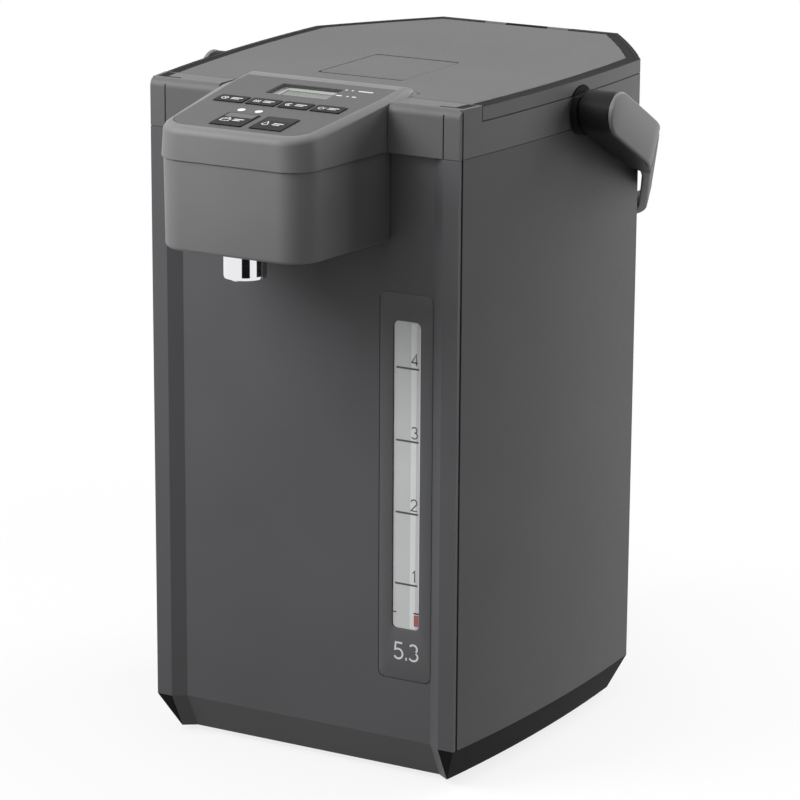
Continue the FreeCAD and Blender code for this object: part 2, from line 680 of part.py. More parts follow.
# Pipes
def pump_pipe():
    x, z = tube_x(), PUMP_Z0 + (PUMP_Z1 - PUMP_Z0) / 2
    run_x, run_y = x - PUMP_X, TUBE_Y - PUMP_Y
    run = math.hypot(run_x, run_y)
    start = (PUMP_X + run_x * (PUMP_R + FIT) / run, PUMP_Y + run_y * (PUMP_R + FIT) / run, z)
    points = [start, (x, TUBE_Y, z), (x, TUBE_Y, WINDOW_Z0 - 14 - FIT)]
    return pipe(points, PIPE_BEND, PIPE_R, PIPE_BORE)


def spout_pipe():
    x = tube_x()
    level = valve_z() + VALVE_TALL / 2 + 2
    points = [
        (x, TUBE_Y, WINDOW_Z1 + 14 + FIT), (x, TUBE_Y, level), (0, TUBE_Y, level), (0, SPOUT_Y + VALVE_R - 2.0, level),
    ]
    return pipe(points, PIPE_BEND, PIPE_R, PIPE_BORE)


# Container
def inner_container():
    """Drawn steel cup, open at the shoulder, with the hole of the pump's intake in its floor."""
    outer_r = CAN_R + CAN_WALL
    floor = CAN_FLOOR_Z - CAN_WALL
    points = [
        (0, floor), (outer_r - CAN_BEND, floor), (outer_r, floor + CAN_BEND), (outer_r, CAN_SHOULDER_Z),
        (CAN_R, CAN_SHOULDER_Z), (CAN_R, CAN_FLOOR_Z + CAN_BEND), (CAN_R - CAN_BEND + 0.4, CAN_FLOOR_Z),
        (0, CAN_FLOOR_Z),
    ]
    cup = revolve(points, 0, CAN_Y)
    return cup.cut(rod(INTAKE_R, PUMP_X, PUMP_Y, floor - 5, CAN_FLOOR_Z + 5))


def container_mouth():
    """Shoulder, neck and rolled flange, welded on the cup."""
    neck_z = FLANGE_Z - 12
    neck_r = MOUTH_R + CAN_WALL
    points = [
        (CAN_R + CAN_WALL, CAN_SHOULDER_Z), (neck_r, neck_z), (neck_r, FLANGE_Z - CAN_WALL),
        (FLANGE_R, FLANGE_Z - CAN_WALL), (FLANGE_R, FLANGE_Z), (MOUTH_R, FLANGE_Z), (MOUTH_R, neck_z),
        (CAN_R, CAN_SHOULDER_Z),
    ]
    return revolve(points, 0, CAN_Y)


def vacuum_jacket():
    outer_r = CAN_R + CAN_WALL + JACKET_GAP + 1
    inner_r = outer_r - 1
    top = CAN_SHOULDER_Z + 6
    points = [
        (inner_r, CAN_FLOOR_Z + 10), (outer_r, CAN_FLOOR_Z + 10), (outer_r, top), (MOUTH_R + 6, FLANGE_Z - 16),
        (MOUTH_R + 6, FLANGE_Z - 4), (MOUTH_R + CAN_WALL + 0.1, FLANGE_Z - 4), (MOUTH_R + CAN_WALL + 0.1, FLANGE_Z - 5),
        (MOUTH_R + 5, FLANGE_Z - 5), (MOUTH_R + 5, FLANGE_Z - 16), (inner_r, top - 0.5),
    ]
    jacket = revolve(points, 0, CAN_Y)
    foot = revolve(
        [(outer_r - 7, CAN_FLOOR_Z + 9), (outer_r, CAN_FLOOR_Z + 9), (outer_r, CAN_FLOOR_Z + 10),
         (outer_r - 7, CAN_FLOOR_Z + 10)], 0, CAN_Y)
    foot = foot.cut(rod(CAN_R + CAN_WALL + 0.1, 0, CAN_Y, 0, 200))
    return jacket.fuse(foot).removeSplitter()


def flange_seal():
    """Silicone ring between the container's flange and the frame's deck."""
    points = [
        (MOUTH_R + CAN_WALL + 1, FLANGE_Z), (FLANGE_R, FLANGE_Z), (FLANGE_R, DECK_Z - WALL),
        (MOUTH_R + CAN_WALL + 1, DECK_Z - WALL),
    ]
    return revolve(points, 0, CAN_Y)


def support_ring():
    """Moulded ring on feet that carries the container over the base."""
    r1 = CAN_R + CAN_WALL + 8
    z1 = CAN_FLOOR_Z - CAN_WALL
    ring = revolve([(HEATER_R + 8, z1 - 6), (r1, z1 - 6), (r1, z1 + 3), (r1 - 5, z1 + 3), (r1 - 5, z1), (HEATER_R + 8, z1)],
                   0, CAN_Y)
    legs = []
    for turn in (40, 140, 215, 325):
        angle = math.radians(turn)
        x = (r1 - 8) * math.cos(angle)
        y = CAN_Y + (r1 - 8) * math.sin(angle)
        legs.append(rod(7, x, y, BASE_Z + PLATE_THICK, z1 - 5.5))
    return ring.fuse(legs).removeSplitter()


def heater():
    z1 = CAN_FLOOR_Z - CAN_WALL
    plate = rod(HEATER_R, 0, CAN_Y, z1 - HEATER_THICK, z1)
    plate = plate.cut(rod(22, 0, CAN_Y, 0, 100))
    return plate.cut(rod(16, PUMP_X, PUMP_Y, 0, 100))


def thermostat():
    z1 = CAN_FLOOR_Z - CAN_WALL
    can = rod(9, 0, CAN_Y, z1 - 9, z1)
    tabs = box(-6, -4, CAN_Y - 3, CAN_Y + 3, z1 - 16, z1 - 8.5).fuse(box(4, 6, CAN_Y - 3, CAN_Y + 3, z1 - 16, z1 - 8.5))
    return can.fuse(tabs).removeSplitter()


def temperature_sensor():
    z1 = CAN_FLOOR_Z - CAN_WALL
    return rod(4, -16, CAN_Y, z1 - 5, z1).fuse(rod(1.2, -16, CAN_Y, z1 - 14, z1 - 4)).removeSplitter()


# Pump
def pump_housing():
    neck_top = CAN_FLOOR_Z
    points = [
        (0, PUMP_Z0), (PUMP_R, PUMP_Z0), (PUMP_R, PUMP_Z1), (INTAKE_R + 4, PUMP_Z1 + 3), (INTAKE_R - FIT / 3, PUMP_Z1 + 6),
        (INTAKE_R - FIT / 3, neck_top), (INTAKE_R - 2, neck_top), (INTAKE_R - 2, PUMP_Z1 - PUMP_WALL),
        (PUMP_R - PUMP_WALL, PUMP_Z1 - PUMP_WALL), (PUMP_R - PUMP_WALL, PUMP_Z0 + PUMP_WALL), (0, PUMP_Z0 + PUMP_WALL),
    ]
    body = revolve(points, PUMP_X, PUMP_Y)
    socket = rod(SHAFT_R, PUMP_X, PUMP_Y, PUMP_Z0 + 1, PUMP_Z0 + 8)
    body = body.fuse(socket)
    run_x, run_y = tube_x() - PUMP_X, TUBE_Y - PUMP_Y
    heading = Vector(run_x, run_y, 0).normalize()
    level = (PUMP_Z0 + PUMP_Z1) / 2
    outlet = Part.makeCylinder(PIPE_BORE, PUMP_R + 2, Vector(PUMP_X, PUMP_Y, level), heading)
    outlet = outlet.cut(rod(PUMP_R - PUMP_WALL - 1, PUMP_X, PUMP_Y, 0, 100))
    return body.removeSplitter().cut(outlet)


def impeller():
    z0 = PUMP_Z0 + PUMP_WALL + 0.6
    hub = rod(7, PUMP_X, PUMP_Y, z0, z0 + 8)
    disc = rod(17, PUMP_X, PUMP_Y, z0, z0 + 3)
    blades = []
    for step in range(6):
        arc = Part.Arc(Vector(5, 0, 0), Vector(11, 1.8, 0), Vector(16.5, 6, 0)).toShape()
        strip = arc.extrude(Vector(0, 0, 7))
        blade = strip.makeOffsetShape(0.7, 0.01, fill=True)
        blade.rotate(Vector(0, 0, 0), Vector(0, 0, 1), 60 * step)
        blade.translate(Vector(PUMP_X, PUMP_Y, z0 + 1.5))
        blades.append(blade)
    wheel = disc.fuse([hub] + blades).removeSplitter()
    return wheel.cut(rod(SHAFT_R + RUN, PUMP_X, PUMP_Y, z0 - 1, z0 + 12))


def pump_motor():
    z1 = PUMP_Z0 - 9
    can = rod(MOTOR_R, PUMP_X, PUMP_Y, MOTOR_Z0, z1).cut(rod(SHAFT_R + RUN, PUMP_X, PUMP_Y, MOTOR_Z0 + 2, z1 + 1))
    skirt = rod(MOTOR_R + 5, PUMP_X, PUMP_Y, z1 - 2, PUMP_Z0)
    skirt = skirt.cut(rod(MOTOR_R + 3, PUMP_X, PUMP_Y, z1, PUMP_Z0 + 1)).cut(rod(MOTOR_R - 1, PUMP_X, PUMP_Y, z1 - 3, z1 + 1))
    legs = []
    for turn in (30, 150, 270):
        angle = math.radians(turn)
        x = PUMP_X + (MOTOR_R + 2.5) * math.cos(angle)
        y = PUMP_Y + (MOTOR_R + 2.5) * math.sin(angle)
        legs.append(rod(3, x, y, BASE_Z + PLATE_THICK, z1 - 1))
    return can.fuse([skirt] + legs).removeSplitter()


def motor_magnet():
    z1 = PUMP_Z0 - 9
    drum = rod(14, PUMP_X, PUMP_Y, z1 + 1.0, PUMP_Z0 - 0.8)
    shaft = rod(SHAFT_R, PUMP_X, PUMP_Y, MOTOR_Z0 + 2.5, z1 + 1.5)
    return drum.fuse(shaft).removeSplitter()


# Base
def base_plate():
    rim = bevel_block(WALL + FIT, BASE_Z, BASE_Z + PLATE_THICK)
    front_y = FRONT_Y + PANEL_DEEP + WALL + BEVEL_IN + FIT
    plate = rim.cut(box(-200, 200, -200, front_y, 0, 50))
    return plate.cut(rod(HUB_R + RUN, 0, 0, 0, 50)).cut(base_screws_at(SCREW_R + 0.1))


def screw_places():
    return [(side * 76, y) for side in (-1, 1) for y in (-104, 60)]


def base_screws_at(radius):
    rods = [rod(radius, x, y, 0, 30) for x, y in screw_places()]
    return rods[0].fuse(rods[1:])


def base_screws():
    solids = []
    for x, y in screw_places():
        shank = rod(SCREW_R, x, y, BASE_Z + 0.5, BASE_Z + 11)
        head = rod(SCREW_HEAD_R, x, y, BASE_Z - 1.6, BASE_Z)
        neck = rod(SCREW_R, x, y, BASE_Z - 0.2, BASE_Z + 0.6)
        slot = box(x - 2, x + 2, y - 0.4, y + 0.4, BASE_Z - 2, BASE_Z - 0.9)
        slot = slot.fuse(box(x - 0.4, x + 0.4, y - 2, y + 2, BASE_Z - 2, BASE_Z - 0.9))
        solids.append(shank.fuse([head, neck]).removeSplitter().cut(slot))
    return Part.makeCompound(solids)


def turning_base():
    z1 = BASE_Z - TURN_GAP
    disc = rod(TURN_R, 0, 0, z1 - TURN_THICK, z1)
    hub = rod(HUB_R, 0, 0, z1 - 1, BASE_Z + PLATE_THICK + 0.4)
    cap = rod(HUB_R + 3, 0, 0, BASE_Z + PLATE_THICK + 0.3, BASE_Z + PLATE_THICK + 2)
    disc = disc.fuse([hub, cap]).removeSplitter()
    for x, y in foot_places():
        disc = disc.cut(rod(FOOT_R + 0.1, x, y, -1, FOOT_TALL))
    return disc


def foot_places():
    reach = TURN_R - FOOT_R - 4
    around = [(reach * math.cos(math.radians(a)), reach * math.sin(math.radians(a))) for a in (45, 135, 225, 315)]
    return around + [(0, 0)]


def rubber_feet():
    return Part.makeCompound([rod(FOOT_R, x, y, 0, FOOT_TALL) for x, y in foot_places()])


def power_board():
    z0 = BASE_Z + PLATE_THICK + 6
    board = box(-66, 6, -106, -62, z0, z0 + BOARD)
    parts = [
        box(-62, -38, -100, -76, z0 + BOARD, z0 + BOARD + 18),
        rod(8, -24, -90, z0 + BOARD, z0 + BOARD + 20),
        box(-12, 0, -100, -80, z0 + BOARD, z0 + BOARD + 12),
        box(-32, -4, -72, -67, z0 + BOARD, z0 + BOARD + 10),
    ]
    posts = [rod(3, x, y, BASE_Z + PLATE_THICK, z0 + 0.1) for x in (-61, 1) for y in (-101, -67)]
    return board.fuse(parts + posts).removeSplitter()


def power_inlet():
    """Shallow socket with two pins and a magnet plate, open to the back."""
    y0 = BACK_Y - INLET_DEEP - 2
    half, tall = INLET_WIDE / 2, INLET_TALL / 2
    y1 = BACK_Y - 0.2
    body = upright_plate(-half, half, INLET_Z - tall, INLET_Z + tall, y0, y1, 3)
    well = upright_plate(-half + 3, half - 3, INLET_Z - tall + 3, INLET_Z + tall - 3, y0 + 2, y1 + 5, 2)
    flange = box(-half - 4, half + 4, BACK_Y - SHEET - 2.5, BACK_Y - SHEET - FIT, INLET_Z - tall - 4, INLET_Z + tall + 4)
    socket = body.fuse(flange.cut(upright_plate(-half + 1, half - 1, INLET_Z - tall + 1, INLET_Z + tall - 1,
                                                y0, y1 + 5, 2))).cut(well)
    holes = [Part.makeCylinder(PIN_R + 0.05, 10, Vector(side * PIN_X, y0 - 2, INLET_Z), Vector(0, 1, 0)) for side in (-1, 1)]
    return socket.removeSplitter().cut(holes)


def inlet_pins():
    y0 = BACK_Y - INLET_DEEP - 8
    solids = []
    for side in (-1, 1):
        pin = Part.makeCylinder(PIN_R, INLET_DEEP + 4, Vector(side * PIN_X, y0, INLET_Z), Vector(0, 1, 0))
        solids.append(pin)
    return Part.makeCompound(solids)


# Lid
def lid_plan(inset, z0, z1, front_gap=0.0):
    """Lid outline: the body's own outline behind the front part, cut back round the nose."""
    plan = body_prism(inset, z0, z1)
    front = LID_FRONT_Y + PART_LINE + front_gap
    plan = plan.cut(box(-200, 200, -300, front, z0 - 1, z1 + 1))
    room = NOSE_ROOT_HALF + PART_LINE + front_gap
    nose_room = box(-room, room, -300, NOSE_REAR_Y + PART_LINE + front_gap, z0 - 1, z1 + 1)
    return plan.cut(nose_room)


def hinge_room(grow):
    """Space that the frame's knuckles need in the lid."""
    rooms = []
    for side in (-1, 1):
        room = cross_rod(KNUCKLE_R + grow, KNUCKLE_IN - RUN, KNUCKLE_OUT + 0.6, HINGE_Y, HINGE_Z)
        room = room.fuse(box(KNUCKLE_IN - RUN, KNUCKLE_OUT + 0.6, HINGE_Y, BACK_Y + 5, DECK_Z - 5, TOP_Z + 5))
        rooms.append(room if side > 0 else mirror_x(room))
    return rooms[0].fuse(rooms[1])


def lid_trim():
    z0 = DECK_Z + PART_LINE
    wall = body_prism(0, z0, TOP_Z)
    top = [edge for edge in wall.Edges if all(abs(v.Z - TOP_Z) < 0.01 for v in edge.Vertexes)]
    wall = wall.makeFillet(0.8, top)
    wall = wall.cut(body_prism(LID_TRIM, z0 - 1, TOP_Z + 1))
    wall = wall.cut(box(-200, 200, -300, LID_FRONT_Y + PART_LINE, 0, 500))
    wall = wall.cut(box(-KNUCKLE_OUT - 0.6, KNUCKLE_OUT + 0.6, HINGE_Y - 6, BACK_Y + 5, 0, 500))
    heel = box(-200, 200, BACK_Y - 1.6, BACK_Y + 1, z0 - 1, z0 + 1.6)
    patch = cross_rod(EAR_R + FIT, 90, 120, PIVOT_Y, PIVOT_Z)
    return wall.cut(heel).cut(patch).cut(mirror_x(patch))


def lid_rim():
    """Dark rim of the lid: the visible band, the ledge under the top plate and the front bar."""
    z0 = DECK_Z + PART_LINE
    inner = LID_TRIM + 0.1
    band = lid_plan(inner, z0, TOP_Z - 0.4, 0.0)
    shelf_z = TOP_Z - LID_PLATE - 0.3
    top_room = body_prism(LID_BAND, shelf_z, TOP_Z + 1)
    band = band.cut(top_room)
    well = body_prism(LID_BAND + 6, z0 - 1, TOP_Z + 1)
    well = well.cut(box(-200, 200, -300, NOSE_REAR_Y + 8, 0, 500))
    well = well.cut(box(-200, 200, HINGE_Y - 12, 300, 0, 500))
    band = band.cut(well)
    band = band.cut(hinge_room(PART_LINE))
    patches = []
    for side in (-1, 1):
        patch = cross_rod(EAR_R, REAR_HALF - 3, EAR_X - 0.1, PIVOT_Y, PIVOT_Z)
        patch = patch.common(box(90, 120, -60, 60, DECK_Z + PART_LINE, TOP_Z - 1))
        patches.append(patch if side > 0 else mirror_x(patch))
    band = band.fuse(patches)
    tunnel = box(-LATCH_HALF - FIT, LATCH_HALF + FIT, -300, LATCH_REAR_Y + 8, z0 - 2, LATCH_Z0 + LATCH_THICK + 0.5)
    band = band.cut(tunnel).cut(cross_rod(HINGE_PIN_R + RUN, -60, 60, HINGE_Y, HINGE_Z))
    heel = box(-200, 200, BACK_Y - 4, BACK_Y + 1, z0 - 1, z0 + 1.4)
    band = band.cut(heel)
    return lever_well(band)


def lever_well(shape, gap=0.5):
    """Room for the lever plate, its finger recess and its pin blocks."""
    y0 = LEVER_FRONT_Y - LEVER_NOSE_GAP
    return shape.cut(box(-LEVER_HALF - gap, LEVER_HALF + gap, y0, LEVER_REAR_Y + LEVER_TAIL_GAP, DECK_Z + 3.5, TOP_Z + 5))


def lid_top_plate():
    plate = body_prism(LID_BAND + 0.1, TOP_Z - LID_PLATE, TOP_Z)
    plate = plate.cut(box(-200, 200, -300, LID_FRONT_Y + PART_LINE, 0, 500))
    room = NOSE_ROOT_HALF + PART_LINE
    plate = plate.cut(box(-room, room, -300, NOSE_REAR_Y + PART_LINE, 0, 500))
    top = []
    for edge in plate.Edges:
        if all(abs(v.Z - TOP_Z) < 0.01 for v in edge.Vertexes):
            top.append(edge)
    plate = plate.makeFillet(0.6, top)
    y0 = LEVER_FRONT_Y - LEVER_NOSE_GAP
    well = rounded_plate(-LEVER_HALF - 0.5, LEVER_HALF + 0.5, y0, LEVER_REAR_Y + LEVER_TAIL_GAP, 0, 500, 3)
    return plate.cut(well).cut(hinge_room(PART_LINE))


def lid_core():
    """Underside of the lid: a shallow pan with a plug that enters the mouth, and the latch guide."""
    z0 = DECK_Z + PART_LINE
    shelf_z = TOP_Z - LID_PLATE - 0.3
    pan = body_prism(LID_BAND + 6 + 0.2, z0, z0 + 3)
    pan = pan.cut(box(-200, 200, -300, NOSE_REAR_Y + 8.2, 0, 500)).cut(box(-200, 200, HINGE_Y - 12.2, 300, 0, 500))
    plug = rod(PLUG_R, 0, CAN_Y, LID_CORE_Z, z0 + 1)
    room = rod(PLUG_R - 3, 0, CAN_Y, LID_CORE_Z + 3, z0 + 5)
    ribs = []
    for x in (-LEVER_HALF - 3.6, LEVER_HALF + 0.9):
        block = box(x, x + 2.7, LEVER_AXIS_Y - 4, LEVER_AXIS_Y + 4, LID_CORE_Z + 2, shelf_z - 0.1)
        ribs.append(block.cut(cross_rod(LEVER_PIN_R + 0.05, -50, 50, LEVER_AXIS_Y, LEVER_AXIS_Z)))
    for angle in range(0, 360, 45):
        rib = box(-1.2, 1.2, 34, PLUG_R - 2, LID_CORE_Z + 2, z0 + 2.9)
        rib.rotate(Vector(0, 0, 0), Vector(0, 0, 1), angle + 22.5)
        rib.translate(Vector(0, CAN_Y, 0))
        ribs.append(rib)
    posts = []
    for side in (-1, 1):
        posts.append(box(side * 60 - 4, side * 60 + 4, -60, -52, z0 + 2, shelf_z - 0.1))
        posts.append(box(side * 60 - 4, side * 60 + 4, 84, 92, z0 + 2, shelf_z - 0.1))
    core = pan.fuse(plug).cut(room).fuse(ribs + posts).removeSplitter()
    steam = rod(9 + RUN, 0, CAN_Y + 42, LID_CORE_Z - 5, TOP_Z)
    core = core.cut(steam)
    tunnel = box(-LATCH_HALF - FIT, LATCH_HALF + FIT, LATCH_FRONT_Y - 5, LATCH_REAR_Y + LATCH_TRAVEL + 2,
                 LATCH_Z0 - FIT, LATCH_Z0 + LATCH_THICK + FIT)
    return lever_room(core.cut(tunnel))


def lever_room(shape):
    """Room under the lever for fingers, the link and the pin."""
    y0 = LEVER_FRONT_Y - LEVER_NOSE_GAP
    return shape.cut(box(-LEVER_HALF - 0.6, LEVER_HALF + 0.6, y0, LEVER_REAR_Y + LEVER_TAIL_GAP + 0.5, DECK_Z + 3.4, TOP_Z + 5))


def lid_lever():
    z1 = TOP_Z - 0.1
    plate = rounded_plate(-LEVER_HALF, LEVER_HALF, LEVER_FRONT_Y, LEVER_REAR_Y, z1 - LEVER_PLATE, z1, 2.5)
    barrel = cross_rod(2.9, -LEVER_HALF, LEVER_HALF, LEVER_AXIS_Y, LEVER_AXIS_Z - 0.3)
    lug_z = LATCH_Z0 + LATCH_THICK + FIT
    lug = box(-4, 4, LEVER_FRONT_Y + 1, LEVER_FRONT_Y + 5, lug_z, z1 - LEVER_PLATE + 0.2)
    lever = plate.fuse([barrel, lug]).removeSplitter()
    lever = lever.cut(cross_rod(LEVER_PIN_R + RUN, -50, 50, LEVER_AXIS_Y, LEVER_AXIS_Z))
    tail = box(-200, 200, LEVER_AXIS_Y + 3.2, 50, 0, TOP_Z - 1.3)
    return lever.cut(tail)


def lever_pin():
    return cross_rod(LEVER_PIN_R, -LEVER_HALF - 3.5, LEVER_HALF + 3.5, LEVER_AXIS_Y, LEVER_AXIS_Z)


def lid_latch():
    """Flat bolt with a bevelled tip that enters the nose's rear wall."""
    bolt = box(-LATCH_HALF, LATCH_HALF, LATCH_FRONT_Y, LATCH_REAR_Y, LATCH_Z0, LATCH_Z0 + LATCH_THICK)
    tip = [
        edge for edge in bolt.Edges
        if all(abs(v.Y - LATCH_FRONT_Y) < 0.01 and abs(v.Z - LATCH_Z0) < 0.01 for v in edge.Vertexes)
    ]
    return bolt.makeChamfer(1.4, tip)


def inner_lid():
    z1 = LID_CORE_Z - FIT
    points = [
        (0, z1 - INNER_LID_DEEP), (INNER_LID_R - 8, z1 - INNER_LID_DEEP), (INNER_LID_R, z1 - 1.5), (INNER_LID_R, z1),
        (0, z1), (0, z1 - 1.0), (INNER_LID_R - 2, z1 - 1.0), (INNER_LID_R - 8.5, z1 - INNER_LID_DEEP + 1),
        (0, z1 - INNER_LID_DEEP + 1),
    ]
    dish = revolve(points[:4] + [(0, z1)], 0, CAN_Y)
    hole_steps = []
    for step in range(8):
        angle = math.radians(45 * step)
        hole_steps.append(rod(2, 9 * math.cos(angle), CAN_Y + 42 + 9 * math.sin(angle) * 0.6, z1 - 10, z1 + 5))
    return dish.cut(hole_steps)


def lid_gasket():
    """Silicone ring on the plug that closes on the container's flange."""
    z0 = FLANGE_Z + 0.2
    points = [
        (PLUG_R, z0 + 4.5), (PLUG_R, z0 - 3), (PLUG_R + 2.5, z0 - 4), (PLUG_R + 2.5, z0), (MOUTH_R + 1.2, z0),
        (MOUTH_R + 1.2, z0 + 1.2), (PLUG_R + 2.0, z0 + 1.2), (PLUG_R + 2.0, z0 + 4.5),
    ]
    return revolve(points, 0, CAN_Y)


def steam_valve():
    """Steam passage and anti-spill valve through the lid."""
    z0 = LID_CORE_Z
    points = [(4, z0), (9, z0), (9, TOP_Z - LID_PLATE - 0.4), (4, TOP_Z - LID_PLATE - 0.4)]
    return revolve(points, 0, CAN_Y + 42)


def hinge_pin():
    return cross_rod(HINGE_PIN_R, -KNUCKLE_OUT, KNUCKLE_OUT, HINGE_Y, HINGE_Z)


def lid_knuckle():
    """Middle knuckle with the arm that carries the lid's rim."""
    half = KNUCKLE_IN - RUN * 2
    barrel = cross_rod(KNUCKLE_R, -half, half, HINGE_Y, HINGE_Z)
    return barrel.cut(cross_rod(HINGE_PIN_R + RUN, -60, 60, HINGE_Y, HINGE_Z))


# Handle
def tilt(shape):
    """From the handle's plane (x, reach, across) to its rest behind the pot."""
    moved = shape.copy()
    moved.Placement = Placement(Vector(0, PIVOT_Y, PIVOT_Z), Rotation(Vector(1, 0, 0), -HANDLE_TILT))
    return moved


def bail_block(points, corner_front, corner_rear, half_wide):
    block = polygon(points + [(-x, y) for x, y in reversed(points)], -half_wide)
    block = block.extrude(Vector(0, 0, 2 * half_wide))
    block = block.makeFillet(corner_front, vertical_edges(block, y=points[1][1], tolerance=0.1))
    return block.makeFillet(corner_rear, vertical_edges(block, y=points[-1][1], tolerance=0.1))


def handle_bail():
    half_wide = HANDLE_WIDE / 2
    outer_x = ARM_OUT_X + CAP_THICK
    outer = bail_block(
        [(outer_x, -40), (outer_x, ARM_LONG + 2), (BAIL_HALF, BAIL_REACH)], 12, 26, half_wide)
    run = math.hypot(outer_x - BAIL_HALF, BAIL_REACH - ARM_LONG - 2)
    off_x = BLADE * (BAIL_REACH - ARM_LONG - 2) / run
    off_y = BLADE * (outer_x - BAIL_HALF) / run
    slope = (outer_x - BAIL_HALF) / (BAIL_REACH - ARM_LONG - 2)
    rear_in = BAIL_REACH - GRIP_THICK
    rear_x = BAIL_HALF - off_x + slope * (BAIL_REACH - off_y - rear_in)
    inner_points = [
        (ARM_IN_X, -41), (ARM_IN_X, 24), (outer_x - off_x, ARM_LONG + 2 - off_y), (rear_x, rear_in),
    ]
    inner = polygon(inner_points + [(-x, y) for x, y in reversed(inner_points)], -half_wide - 1)
    inner = inner.extrude(Vector(0, 0, 2 * half_wide + 2))
    inner = inner.makeFillet(20, vertical_edges(inner, y=rear_in, tolerance=0.1))
    inner = inner.makeFillet(12, vertical_edges(inner, y=24, tolerance=0.1))
    bail = outer.cut(inner)
    cap_room = box(ARM_OUT_X, 200, -60, ARM_LONG, -30, 30)
    ends = box(-200, 200, -60, 0, -30, 30)
    hub = cross_rod(half_wide, ARM_IN_X, ARM_OUT_X, 0, 0)
    hubs = hub.fuse(mirror_x(hub))
    bail = bail.cut(ends).fuse(hubs).removeSplitter()
    bail = bail.cut(cap_room).cut(mirror_x(cap_room))
    bore = cross_rod(HANDLE_PIN_R + RUN, 100, ARM_OUT_X + 1, 0, 0)
    return tilt(bail.cut(bore).cut(mirror_x(bore)))


def handle_cap():
    """Grey cover on the outside of an arm, round at the hub."""
    half_wide = HANDLE_WIDE / 2
    x0, x1 = ARM_OUT_X + 0.05, ARM_OUT_X + CAP_THICK
    disc = cross_rod(half_wide, x0, x1, 0, 0)
    plate = box(x0, x1, 0, ARM_LONG - 0.05, -half_wide, half_wide)
    cap = disc.fuse(plate).removeSplitter()
    rim = [edge for edge in cap.Edges if all(abs(v.X - x1) < 0.01 for v in edge.Vertexes)]
    return tilt(cap.makeFillet(1.2, rim))


def handle_ear():
    disc = cross_rod(EAR_R, EAR_X, EAR_X + EAR_PLATE, PIVOT_Y, PIVOT_Z)
    disc = disc.cut(box(90, 130, -60, 60, DECK_Z, 500))
    neck = cross_rod(EAR_NECK_R, EAR_X + EAR_PLATE - 0.5, ARM_IN_X - FIT, PIVOT_Y, PIVOT_Z)
    neck = neck.cut(box(90, EAR_X + EAR_PLATE, -60, 60, DECK_Z, 500))
    spigot = cross_rod(6.0, REAR_HALF - 8, EAR_X + 1, PIVOT_Y, PIVOT_Z)
    ear = disc.fuse([neck, spigot]).removeSplitter()
    return ear.cut(cross_rod(HANDLE_PIN_R + 0.05, 90, 130, PIVOT_Y, PIVOT_Z))


def handle_pin():
    shank = cross_rod(HANDLE_PIN_R, REAR_HALF - 10, ARM_OUT_X - 0.3, PIVOT_Y, PIVOT_Z)
    head = cross_rod(HANDLE_PIN_R + 2, REAR_HALF - 12, REAR_HALF - 8.3, PIVOT_Y, PIVOT_Z)
    return shank.fuse(head).removeSplitter()


board, board_posts = control_board()
nose_housing = nose_upper().fuse(board_posts).removeSplitter()

PARTS = {
    "front_panel": front_panel(),
    "side_shell": side_shell(),
    "base_skirt": base_skirt(),
    "base_plate": base_plate(),
    "base_screws": base_screws(),
    "turning_base": turning_base(),
    "rubber_feet": rubber_feet(),
    "top_frame": top_frame(),
    "corner_trim_caps": both_sides(trim_cap()),
    "nose_upper_housing": nose_housing,
    "nose_lower_cover": nose_lower(),
    "control_panel_sheet": panel_sheet(),
    "lcd_window": lcd_window(),
    "lcd_module": lcd_module(),
    "lamp_lenses": lamp_lenses(),
    "control_board": board,
    "spout_nozzle": spout_nozzle(),
    "stop_valve": tip_valve(),
    "gauge_frame": gauge_frame(),
    "gauge_window": gauge_window(),
    "gauge_backing": gauge_backing(),
    "gauge_tube": gauge_tube(),
    "gauge_tube_seals": tube_seals(),
    "pump_outlet_pipe": pump_pipe(),
    "spout_pipe": spout_pipe(),
    "inner_container": inner_container(),
    "container_mouth": container_mouth(),
    "vacuum_jacket": vacuum_jacket(),
    "container_flange_seal": flange_seal(),
    "container_support_ring": support_ring(),
    "heater_plate": heater(),
    "thermostat_and_sensor": Part.makeCompound([thermostat(), temperature_sensor()]),
    "pump_housing": pump_housing(),
    "pump_impeller": impeller(),
    "pump_motor": pump_motor(),
    "motor_magnet": motor_magnet(),
    "power_board": power_board(),
    "power_inlet": power_inlet(),
    "inlet_pins": inlet_pins(),
    "lid_side_trim": lid_trim(),
    "lid_rim": lid_rim().fuse(lid_knuckle()).removeSplitter(),
    "lid_top_plate": lid_top_plate(),
    "lid_core": lid_core(),
    "lid_lever": lid_lever(),
    "lid_lever_pin": lever_pin(),
    "lid_latch": lid_latch(),
    "inner_lid": inner_lid(),
    "lid_gasket": lid_gasket(),
    "steam_valve": steam_valve(),
    "lid_hinge_pin": hinge_pin(),
    "handle_bail": handle_bail(),
    "handle_caps": both_sides(handle_cap()),
    "handle_ears": both_sides(handle_ear()),
    "handle_pins": both_sides(handle_pin()),
}
for name, centre, size in all_keys():
    PARTS[name] = key(centre, size)

for name, shape in PARTS.items():
    solids = shape.Solids
    print(name, "solids", len(solids), "valid", shape.isValid(), "volume", round(shape.Volume))
    result = solids[0] if len(solids) == 1 else Part.makeCompound(solids)
    result.exportStep("parts/" + name + ".step")
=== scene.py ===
"""Looks of an electric thermo pot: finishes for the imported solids, printed marks, display, lights and camera.

Lengths are in millimetres unless a comment says otherwise: +Z up, front towards -Y, +X to the viewer's right.
"""

from math import atan2, cos, radians, sin, tan

import bmesh
import bpy
import numpy as np
from mathutils import Matrix, Vector


